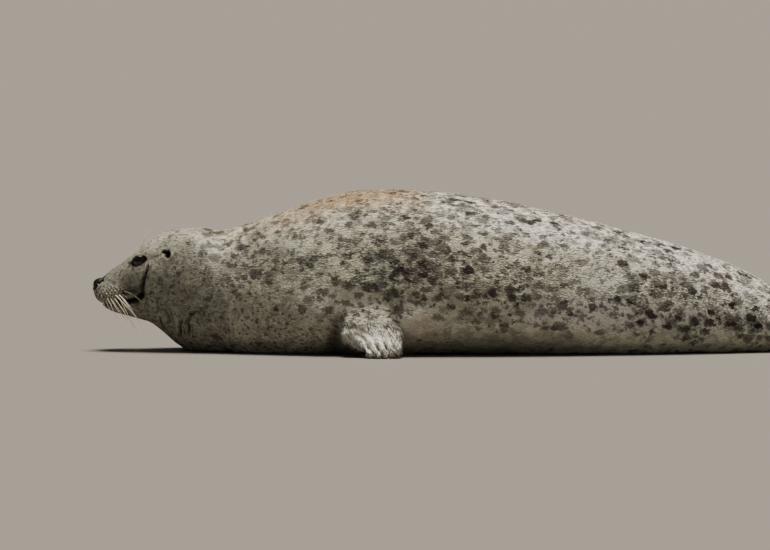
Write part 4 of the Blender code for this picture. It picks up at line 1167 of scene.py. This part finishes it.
# One tuft is seven points: three round its root, three at its widest, one at its tip, in the axes way,
# side and normal of its root. Ten triangles close it.
def growTufts(seed):
    random = np.random.default_rng(seed)
    form = coatForm
    normals = normalsOf(skinMesh)
    ways = hairWays(places, normals)
    sizes = []
    for part in ("length", "width", "lift"):
        size = smoothLine(form[part], x) * (1 - hand) + form["onHand"][part] * hand
        sizes.append(size * (1 - hindLimb) + form["onHind"][part] * hindLimb)
    length, width, lift = sizes
    # the trailing edge of the hand carries longer locks that stand off it
    edge = foreLimb * ease((limbAcross - 0.45) / 0.35) * bell(z - 0.060, 0.026)
    length, lift = length * (1 + 0.9 * edge), lift * (1 + 5.0 * edge)
    bare = ease((darkSkinAndShade - 0.45) / 0.3)
    flat = (normals[:, 2] < -0.9) & (z < 0.004)
    density = form["cover"] / (0.62 * length * width) * (1 - bare) * np.where(flat, 0.0, 1.0)
    density = density * (1 + 0.5 * hand)
    density = density * np.where(eyeGap < 0.003, 0.0, 1.0)
    skinMesh.calc_loop_triangles()
    corners = fieldOf(skinMesh.loop_triangles, "vertices", 3, np.int32)
    loops = fieldOf(skinMesh.loop_triangles, "loops", 3, np.int32)
    a, b, c = (places[corners[:, k]] for k in range(3))
    area = np.linalg.norm(np.cross(b - a, c - a), axis=1) / 2
    run = np.cumsum(area * density[corners].mean(axis=1))
    total = int(run[-1])
    at = (np.arange(total) + random.uniform(size=total)) * run[-1] / total
    pick = np.minimum(np.searchsorted(run, at), len(corners) - 1)
    s, t = np.sqrt(random.uniform(size=total)), random.uniform(size=total)
    share = np.stack([1 - s, s * (1 - t), s * t], axis=1)

    def atRoot(values):
        return np.einsum("ij,ij...->i...", share, values[corners[pick]])

    root, normal = atRoot(places), unit(atRoot(normals))
    rootUv = np.einsum("ij,ijk->ik", share, uvOf[loops[pick]])
    tone, paleness = atRoot(toneMap), atRoot(np.clip(pale, -1, 1))
    long = atRoot(length) * random.uniform(0.72, 1.22, total)
    wide = atRoot(width) * random.uniform(0.8, 1.2, total)
    high = atRoot(lift) * random.uniform(0.3, 1.5, total)
    clump = wander(root, 0.022, 21) * 0.10 + wander(root, 0.07, 22) * 0.08
    turn = random.normal(0, form["spread"], total) + clump
    way = unit(atRoot(ways))
    side = np.cross(normal, way)
    way, side = (way * np.cos(turn)[:, None] + side * np.sin(turn)[:, None],
                 side * np.cos(turn)[:, None] - way * np.sin(turn)[:, None])
    thin = wide * form["thin"]
    curl = random.normal(0, 0.10, total) * long
    # rows: share of the length, share of the width to a side, height above the skin
    shape = ((0.0, -0.36, -form["sink"], 0.0), (0.0, 0.36, -form["sink"], 0.0), (0.0, 0.0, 0.0, 0.8),
             (0.45, -0.5, 0.0, 0.0), (0.45, 0.5, 0.0, 0.0), (0.45, 0.0, 0.0, 1.0), (1.0, 0.0, 0.0, 0.25))
    points = np.empty((total, 7, 3))
    for k, (ahead, aside, down, ridge) in enumerate(shape):
        up = down + ridge * 2 * thin + (high * (0.9 if ahead == 0.45 else 0.75) if ahead > 0 else 0)
        over = aside * wide + (curl if ahead == 1.0 else 0)
        points[:, k] = root + way * (ahead * long)[:, None] + side * over[:, None] + normal * up[:, None]
    points[:, :, 2] = np.maximum(points[:, :, 2], 0.0003)
    triangles = np.array([(0, 2, 1), (0, 1, 4), (0, 4, 3), (1, 2, 5), (1, 5, 4), (2, 0, 3), (2, 3, 5),
                          (3, 4, 6), (4, 5, 6), (5, 3, 6)])
    one = points[0]
    if np.einsum("ij,ij->", one[triangles[:, 0]], np.cross(one[triangles[:, 1]], one[triangles[:, 2]])) < 0:
        triangles = triangles[:, ::-1]
    # on the hand the hair gathers in pale and dark streaks: waves across the lie, slow along it
    onHand = atRoot(hand)
    acrossOnly = root - way * (0.88 * (root * way).sum(axis=1))[:, None]
    streak = onHand * 0.8 * wander(acrossOnly, 0.012, 31)
    own = 0.5 + (random.uniform(size=total) - 0.5) * (1 + 0.5 * onHand) + streak
    strand = np.stack([own, np.zeros(total), random.uniform(size=total)], axis=1)
    strand = np.repeat(strand[:, None, :], 7, axis=1)
    # how far along the lock each point lies, which sets its painted root shade
    strand[:, :, 1] = np.array([0.0, 0.0, 0.1, 0.6, 0.6, 0.7, 1.0])
    # the bake map: each tuft is a patch 0.003 across at its root's place on the skin's own map
    patch = np.array([(-0.4, -1), (0.4, -1), (0.0, -0.9), (-1, 0), (1, 0), (0.0, 0.1), (0, 1)]) * 0.0015
    order = np.argsort(root[:, 0] + 10 * (atRoot(foreLimb) > 0.5) + 20 * (atRoot(hindLimb) > 0.5),
                       kind="stable")
    pieces = []
    parts = np.array_split(order, max(1, math.ceil(total / form["mostInPiece"])))
    print("  tufts:", total, "in", len(parts), "pieces")
    for number, chosen in enumerate(parts):
        n = len(chosen)
        name = f"coat_{number + 1}"
        mesh = bpy.data.meshes.new(name)
        mesh.vertices.add(n * 7)
        mesh.vertices.foreach_set("co", points[chosen].astype(np.float32).ravel())
        index = (triangles[None, :, :] + 7 * np.arange(n)[:, None, None]).reshape(-1)
        mesh.loops.add(len(index))
        mesh.loops.foreach_set("vertex_index", index.astype(np.int32))
        mesh.polygons.add(n * 10)
        mesh.polygons.foreach_set("loop_start", np.arange(0, n * 30, 3, dtype=np.int32))
        mesh.polygons.foreach_set("use_smooth", np.ones(n * 10, bool))
        mesh.update(calc_edges=True)
        layer = mesh.uv_layers.new(name="OFBake")
        tuftUv = rootUv[chosen][:, None, :] + patch[None, :, :]
        layer.uv.foreach_set("vector", tuftUv.reshape(-1, 2)[index].astype(np.float32).ravel())
        reach = points[chosen] - root[chosen][:, None, :]
        setAttribute(mesh, "place", "FLOAT_VECTOR", root[chosen][:, None, :] + form["ownPlace"] * reach)
        setAttribute(mesh, "toneMap", "FLOAT_COLOR", np.repeat(tone[chosen][:, None, :], 7, axis=1))
        setAttribute(mesh, "pale", "FLOAT", np.repeat(paleness[chosen][:, None], 7, axis=1))
        setAttribute(mesh, "strand", "FLOAT_VECTOR", strand[chosen])
        mesh.validate()
        pieces.append(finished(linked(name, mesh), tuftMaterial))
    return pieces


coatPieces = growTufts(7)

print("stage: eyes, lid rims, whiskers and claws")


# an eyeball: radius * (sin p cos q, sin p sin q, cos p) about the way it looks, the cornea a little prouder
def eyeRings(side):
    p = np.linspace(0.02, math.pi - 0.02, 42)
    q = np.linspace(0, 2 * math.pi, 56, endpoint=False)
    radius = eyeForm["radius"] * (1 + 0.020 * bell(p, 0.42))
    rings = eyeCentre + radius[:, None, None] * (
        np.sin(p)[:, None, None] * (np.cos(q)[None, :, None] * eyeBack + np.sin(q)[None, :, None] * eyeUp)
        + np.cos(p)[:, None, None] * gaze)
    return rings * toSide(side)


# Eyeball: a dark brown iris round a slit of pupil, both under the same clear wet cornea. The eye sees
# almost black with one soft reflection, and brown only where light falls in from the side.
eyeLook = {"pupil": "#030303", "iris": "#1b120c", "rim": "#070606", "roughness": 0.10}


def eyeMaterial():
    made, add = newMaterial("wet_cornea_over_brown_iris")
    ring = add("Attribute", out="Fac", attribute_name="fromPupil")
    fibres = add("TexNoise", {"Vector": add("TexCoord", out="Object"), "Scale": 700.0, "Detail": 2.0}, "Fac")
    shift = add("Math", {0: fibres, 1: 0.16, 2: ring}, 0, **timesPlus)
    colour = linear(eyeLook["pupil"])
    for low, high, tint in ((0.26, 0.40, "iris"), (0.62, 0.78, "rim")):
        share = add("MapRange", {"Value": shift, "From Min": low, "From Max": high}, "Result", **softStep)
        colour = add("Mix", {0: share, 6: colour, 7: linear(eyeLook[tint])}, 2, **colourMix)
    shader = add("BsdfPrincipled", {"Base Color": colour, "Roughness": eyeLook["roughness"], "IOR": 1.376,
                                    "Specular IOR Level": 0.2, "Coat Weight": 1.0, "Coat Roughness": 0.03}, 0)
    add("OutputMaterial", {"Surface": shader})
    return made


corneaMaterial = eyeMaterial()
eyes = []
for side, word in ((-1, "left"), (1, "right")):
    obj = shellObject("eye_" + word + "_ball", eyeRings(side))
    away = pointsOf(obj.data) * toSide(side) - eyeCentre
    a, b, d = away @ eyeBack, away @ eyeUp, away @ gaze
    fromPupil = np.arctan2(np.hypot(0.8 * a, 1.1 * b), d)
    setAttribute(obj.data, "fromPupil", "FLOAT", fromPupil)
    eyes.append(finished(obj, corneaMaterial))

# Lid rim: bare black skin, always wet. The eye sees a dark line with a thin bright edge.
rimForm = {"radius": 0.0010, "upperMore": 0.0009, "beyond": 0.0005, "stand": 0.0002, "steps": 96, "sides": 8}


# a plain finish: two close shades in a fine noise, which also gives its grain
def plainMaterial(name, colour, roughness, grain, grainDepth, coat=0.0, light=None, size=0.001):
    made, add = newMaterial(name)
    noise = add("TexNoise", {"Vector": add("TexCoord", out="Object"), "Scale": 1 / size, "Detail": 3.0},
                "Fac")
    shade = add("Mix", {0: noise, 6: linear(colour), 7: linear(light or colour)}, 2, **colourMix)
    bump = add("Bump", {"Height": noise, "Strength": grain, "Distance": grainDepth}, 0)
    shader = add("BsdfPrincipled", {"Base Color": shade, "Roughness": roughness, "IOR": 1.5,
                                    "Coat Weight": coat, "Coat Roughness": 0.15, "Normal": bump}, 0)
    add("OutputMaterial", {"Surface": shader})
    return made


# A closed tube round the opening between the lids, thicker above. Its path is the almond's edge, laid on
# the skin that a ray along the gaze meets and evened out round the ring.
def rimRings(side):
    front, back, above, below = eyeForm["opening"]
    half, middle = (back - front) / 2 + rimForm["beyond"], (back + front) / 2
    turn = np.linspace(0, 2 * math.pi, rimForm["steps"], endpoint=False)
    a = middle + half * np.cos(turn)
    arch = signedPower(np.sin(turn), 1.4)
    b = eyeForm["tilt"] * (a - middle) + (np.where(arch > 0, above, below) + rimForm["beyond"]) * arch
    flat = eyeCentre + a[:, None] * eyeBack + b[:, None] * eyeUp
    turned = toSide(side)
    high = np.full(len(a), np.nan)
    for k, start in enumerate((flat + gaze * 0.06) * turned):
        hit = skinTree.ray_cast(Vector(start), Vector(-gaze * turned))
        if hit[0] is not None:
            high[k] = (np.array(hit[0]) * turned - flat[k]) @ gaze
    found = ~np.isnan(high)
    high = np.interp(turn, turn[found], high[found], period=2 * math.pi)
    for turnRound in range(6):
        high = (np.roll(high, 1) + 2 * high + np.roll(high, -1)) / 4
    path = flat + (high + rimForm["stand"])[:, None] * gaze
    radius = rimForm["radius"] + rimForm["upperMore"] * np.maximum(np.sin(turn), 0)
    tangent = unit(np.roll(path, -1, axis=0) - np.roll(path, 1, axis=0))
    across = unit(np.cross(tangent, gaze))
    return ringsAlong(path, radius, rimForm["sides"], across, np.cross(across, tangent), 0.8) * turned


# a ring-shaped tube, closed on itself
def hoopObject(name, rings):
    quads, points = ringQuads(*rings.shape[:2], hoop=True), rings.reshape(-1, 3)
    turn = -1 if volumeSign(points, quads, quads[:0, :3]) < 0 else 1
    return newPiece(name, points, quads[:, ::turn].tolist())


lidMaterial = plainMaterial("wet_black_lid_skin", "#0b0908", 0.22, 0.3, 0.0002, coat=0.5, light="#1d1815")
rims = [finished(hoopObject("lid_rim_" + word, rimRings(side)), lidMaterial)
        for side, word in ((-1, "left"), (1, "right"))]

whiskerForm = {
    # full length by how far back its root is: (x, length)
    "length": ((0.010, 0.018), (0.030, 0.036), (0.045, 0.062), (0.062, 0.090), (0.075, 0.094),
               (0.085, 0.082)),
    "fullRows": 3, "rowShorter": 0.17, "fewer": 0.50, "stub": (0.005, 0.013),
    "radius": 0.00145, "tipRadius": 0.00036, "beads": 0.10, "beadLength": 0.0034,
    "rows": 26, "sides": 6, "follicleRadius": 0.0021, "follicleHeight": 0.0009,
    # the few above the eye and the hindmost on the lip: root x and z, length, first and last way
    "single": ((0.1230, 0.2535, 0.058, (0.18, 0.05, 1.10), (0.80, 0.15, 0.80)),
               (0.1175, 0.2495, 0.036, (0.18, 0.05, 0.90), (0.80, 0.15, 0.80)),
               (0.1275, 0.2560, 0.027, (0.18, 0.05, 0.80), (0.80, 0.15, 0.80)),
               (0.0800, 0.1520, 0.074, (0.95, 0.20, -0.10), (0.55, 0.10, -0.95))),
}


# the skin's point and normal met by a ray towards the midline, from outside, at (x, z) on the side given
def onSkin(atX, atZ, side):
    start = Vector((atX, side * 0.30, atZ))
    hit, normal = skinTree.ray_cast(start, Vector((0, -side, 0)))[:2]
    return (None, None) if hit is None else (np.array(hit), np.array(normal))


# One whisker: root + length * (t * first + t^2 * (last - first) / 2), a curve that turns from its first way
# to its last, with its thickness falling to the tip in small beads.
def whiskerRings(root, first, last, length):
    t = np.linspace(0, 1, whiskerForm["rows"])
    path = root + length * (t[:, None] * first + (t**2)[:, None] * (last - first) / 2)
    thick = whiskerForm["tipRadius"] + (whiskerForm["radius"] - whiskerForm["tipRadius"]) * (1 - t) ** 0.8
    thick = thick * min(1.0, 0.45 + length / 0.09)
    thick = thick * (1 + whiskerForm["beads"] * np.sin(2 * math.pi * t * length / whiskerForm["beadLength"]))
    return tubeRings(path, thick, whiskerForm["sides"], np.array([0.13, 0.21, 0.97]))


whiskerTubes, follicleTubes = [], []
random = np.random.default_rng(11)
for side in (-1, 1):
    for fx, fz, fr, fc in zip(follicleX, follicleZ, follicleRow, follicleColumn):
        root, normal = onSkin(fx, fz, side)
        if root is None:      # above or below the rounded snout
            continue
        full = fr < whiskerForm["fullRows"] and fc >= 1 + fr
        length = random.uniform(*whiskerForm["stub"])
        if full and random.uniform() > whiskerForm["fewer"] * (fr > 0):
            length = float(smoothLine(whiskerForm["length"], fx)) * (1 - whiskerForm["rowShorter"] * fr)
            length *= random.uniform(0.88, 1.06)
        back = min(fx / 0.085, 1.0)
        first = unit(normal * 0.55 + np.array([0.30 + 0.35 * back, side * 0.10, -0.62 + 0.14 * fr])
                     + random.normal(0, 0.05, 3))
        last = unit(np.array([0.42 + 0.26 * back, side * 0.16, -0.86]) + random.normal(0, 0.07, 3))
        whiskerTubes.append(whiskerRings(root - normal * 0.002, first, last, length))
        dome = np.linspace(0, 0.5 * math.pi, 4)
        up = root + normal * (whiskerForm["follicleHeight"] * np.sin(dome)[:, None] - 0.0004)
        follicleTubes.append(tubeRings(up, whiskerForm["follicleRadius"] * np.maximum(np.cos(dome), 0.35), 7,
                                       np.array([0.4, 0.1, 0.9])))
    for atX, atZ, length, first, last in whiskerForm["single"]:
        root, normal = onSkin(atX, atZ, side)
        if root is None:
            continue
        outward = toSide(side)
        first, last = unit(normal * 0.3 + first * outward), unit(last * outward)
        whiskerTubes.append(whiskerRings(root - normal * 0.002, first, last, length))

# Whisker: clear pale keratin, stiff and smooth. The eye sees ivory lines, brightest where they catch light.
keratin = plainMaterial("ivory_whisker_keratin", "#ece3c6", 0.36, 0.15, 0.0002, light="#fbf6e6", size=0.004)
whiskers = finished(tubesObject("whiskers", whiskerTubes), keratin)
# Whisker roots: dark moist skin round each hair. The eye sees rows of dots on the pad.
rootSkin = plainMaterial("dark_follicle_skin", "#1a1614", 0.45, 0.3, 0.0002, light="#2b2522")
follicles = finished(tubesObject("whisker_roots", follicleTubes), rootSkin)

# Claw: horn in long layers, dark at the root and worn paler and duller at the tip.
clawLook = {"dark": "#1f1a16", "pale": "#70654f", "roughness": 0.34, "layer": 0.0009}


# A claw: an oval carried along a line that bends down as share^2 and thins as sqrt(1 - share^1.6).
def clawRings(shape, toe, side):
    size = shape["claw"]
    across = unit(shape["across"])
    tip = pathPoint(shape["path"], toeForm["clawPlace"] * shape["toeLengths"][toe])
    root = tip + across * shape["halfWidth"][-1][1] * toeForm["clawSpan"] * toePlaces[toe]
    forward = unit(np.array(size["way"]) + across * toeForm["clawFan"] * toePlaces[toe])
    down = unit(np.cross(across, forward))
    down = down * (-1 if down[2] > 0 else 1)
    share = np.linspace(0, 1, 18)
    ahead = share * (size["length"] + size["sink"]) - size["sink"]
    middle = root + np.outer(ahead, forward) + np.outer(size["curl"] * share**2, down)
    radius = size["radius"] * np.sqrt(1 - (0.985 * share) ** 1.6) * 0.96
    angle = np.linspace(0, 2 * math.pi, 14, endpoint=False)
    flat, tall = np.cos(angle) * 0.78, np.sin(angle) - 0.16 * (np.cos(2 * angle) + 1) * (np.sin(angle) < 0)
    ring = flat[None, :, None] * np.cross(forward, down) + tall[None, :, None] * -down
    rings = middle[:, None, :] + ring * radius[:, None, None]
    rings[..., 2] = np.maximum(rings[..., 2], 0.0004)
    return rings * toSide(side)


def clawMaterial():
    made, add = newMaterial("worn_claw_horn")
    share = add("Attribute", out="Fac", attribute_name="towardsTip")
    layers = add("TexNoise", {"Vector": add("TexCoord", out="Object"), "Scale": 1 / clawLook["layer"],
                              "Detail": 3.0}, "Fac")
    worn = add("Math", {0: layers, 1: 0.5, 2: share}, 0, **timesPlus)
    step = add("MapRange", {"Value": worn, "From Min": 0.55, "From Max": 1.25}, "Result")
    colour = add("Mix", {0: step, 6: linear(clawLook["dark"]), 7: linear(clawLook["pale"])}, 2, **colourMix)
    bump = add("Bump", {"Height": layers, "Strength": 0.35, "Distance": 0.0003}, 0)
    shader = add("BsdfPrincipled", {"Base Color": colour, "Roughness": clawLook["roughness"], "IOR": 1.54,
                                    "Normal": bump}, 0)
    add("OutputMaterial", {"Surface": shader})
    return made


hornMaterial = clawMaterial()
claws = []
for kind, shape in (("fore", foreFlipper), ("hind", hindFlipper)):
    for side, word in ((1, "left"), (-1, "right")):
        rings = [clawRings(shape, toe, side) for toe in range(toeForm["count"])]
        obj = tubesObject(f"{kind}_claws_{word}", rings)
        towardsTip = np.tile(np.concatenate([np.repeat(np.linspace(0, 1, 18), 14), [0.0, 1.0]]),
                             toeForm["count"])
        setAttribute(obj.data, "towardsTip", "FLOAT", towardsTip)
        finished(obj, hornMaterial)
        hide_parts(*[f"{kind}_claw_{word}_{toe + 1}" for toe in range(toeForm["count"])])
        claws.append(obj)

print("stage: riding, floor, light and camera")

placeInFrame(skin)
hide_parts("head", "neck", "chest", "belly", "hindquarters", "tail", "fore_flipper_left",
            "fore_flipper_right", "hind_flipper_left", "hind_flipper_right")
for obj, word in zip(eyes, ("left", "right")):
    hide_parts("eye_" + word)
for obj, slotName in ([(skin, "seal_coat")] + [(piece, "seal_coat") for piece in coatPieces]
                      + [(piece, "eye") for piece in eyes] + [(piece, "seal_coat") for piece in rims]
                      + [(whiskers, "claw_horn"), (follicles, "seal_coat")]
                      + [(piece, "claw_horn") for piece in claws]):
    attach(obj, "root")

stageForm = {"floor": "#78736d", "floorSize": 600.0, "sky": "#dfe3e6", "skyStrength": 0.16,
             "sun": 6.8, "sunAngle": 26.0, "sunFrom": (0.02, 0.15, 1.0), "sunColour": "#fff6ea"}
bpy.ops.mesh.primitive_plane_add(size=stageForm["floorSize"])
floor = bpy.context.object
floor.name = "studio_floor"
# Studio floor: matt painted board, pale and even. The eye sees only its soft shadow.
floorMaterial = plainMaterial("matt_floor_paint", stageForm["floor"], 0.85, 0.05, 0.0005,
                              light=stageForm["floor"],
                              size=0.01)
floor.data.materials.append(floorMaterial)
floor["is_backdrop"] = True

world = bpy.data.worlds.new("soft_room")
world.use_nodes = True
world.node_tree.nodes["Background"].inputs["Color"].default_value = linear(stageForm["sky"])
world.node_tree.nodes["Background"].inputs["Strength"].default_value = stageForm["skyStrength"]
bpy.context.scene.world = world

sun = bpy.data.lights.new("soft_overhead", "SUN")
sun.energy = stageForm["sun"]
sun.angle = math.radians(stageForm["sunAngle"])
sun.color = linear(stageForm["sunColour"])[:3]
lamp = linked("soft_overhead", sun)
lamp.rotation_mode = "QUATERNION"
lamp.rotation_quaternion = Vector(stageForm["sunFrom"]).to_track_quat("Z", "Y")

cameraForm = {"distance": 22.0, "elevation": 3.5, "viewWidth": 1.9494, "aimFromNose": 0.7392,
              "aimHeight": 0.190,
              "sensor": 36.0}
lookDown = math.radians(cameraForm["elevation"])
cameraData = bpy.data.cameras.new("camera")
cameraData.sensor_width = cameraForm["sensor"]
cameraData.lens = cameraForm["sensor"] * cameraForm["distance"] / cameraForm["viewWidth"]
cameraData.clip_end = 2000.0
camera = linked("camera", cameraData)
aim = Vector((noseX + cameraForm["aimFromNose"], 0.0, cameraForm["aimHeight"]))
camera.location = aim + cameraForm["distance"] * Vector((0.0, -math.cos(lookDown), math.sin(lookDown)))
camera.rotation_euler = (math.pi / 2 - lookDown, 0.0, 0.0)
bpy.context.scene.camera = camera

low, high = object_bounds()
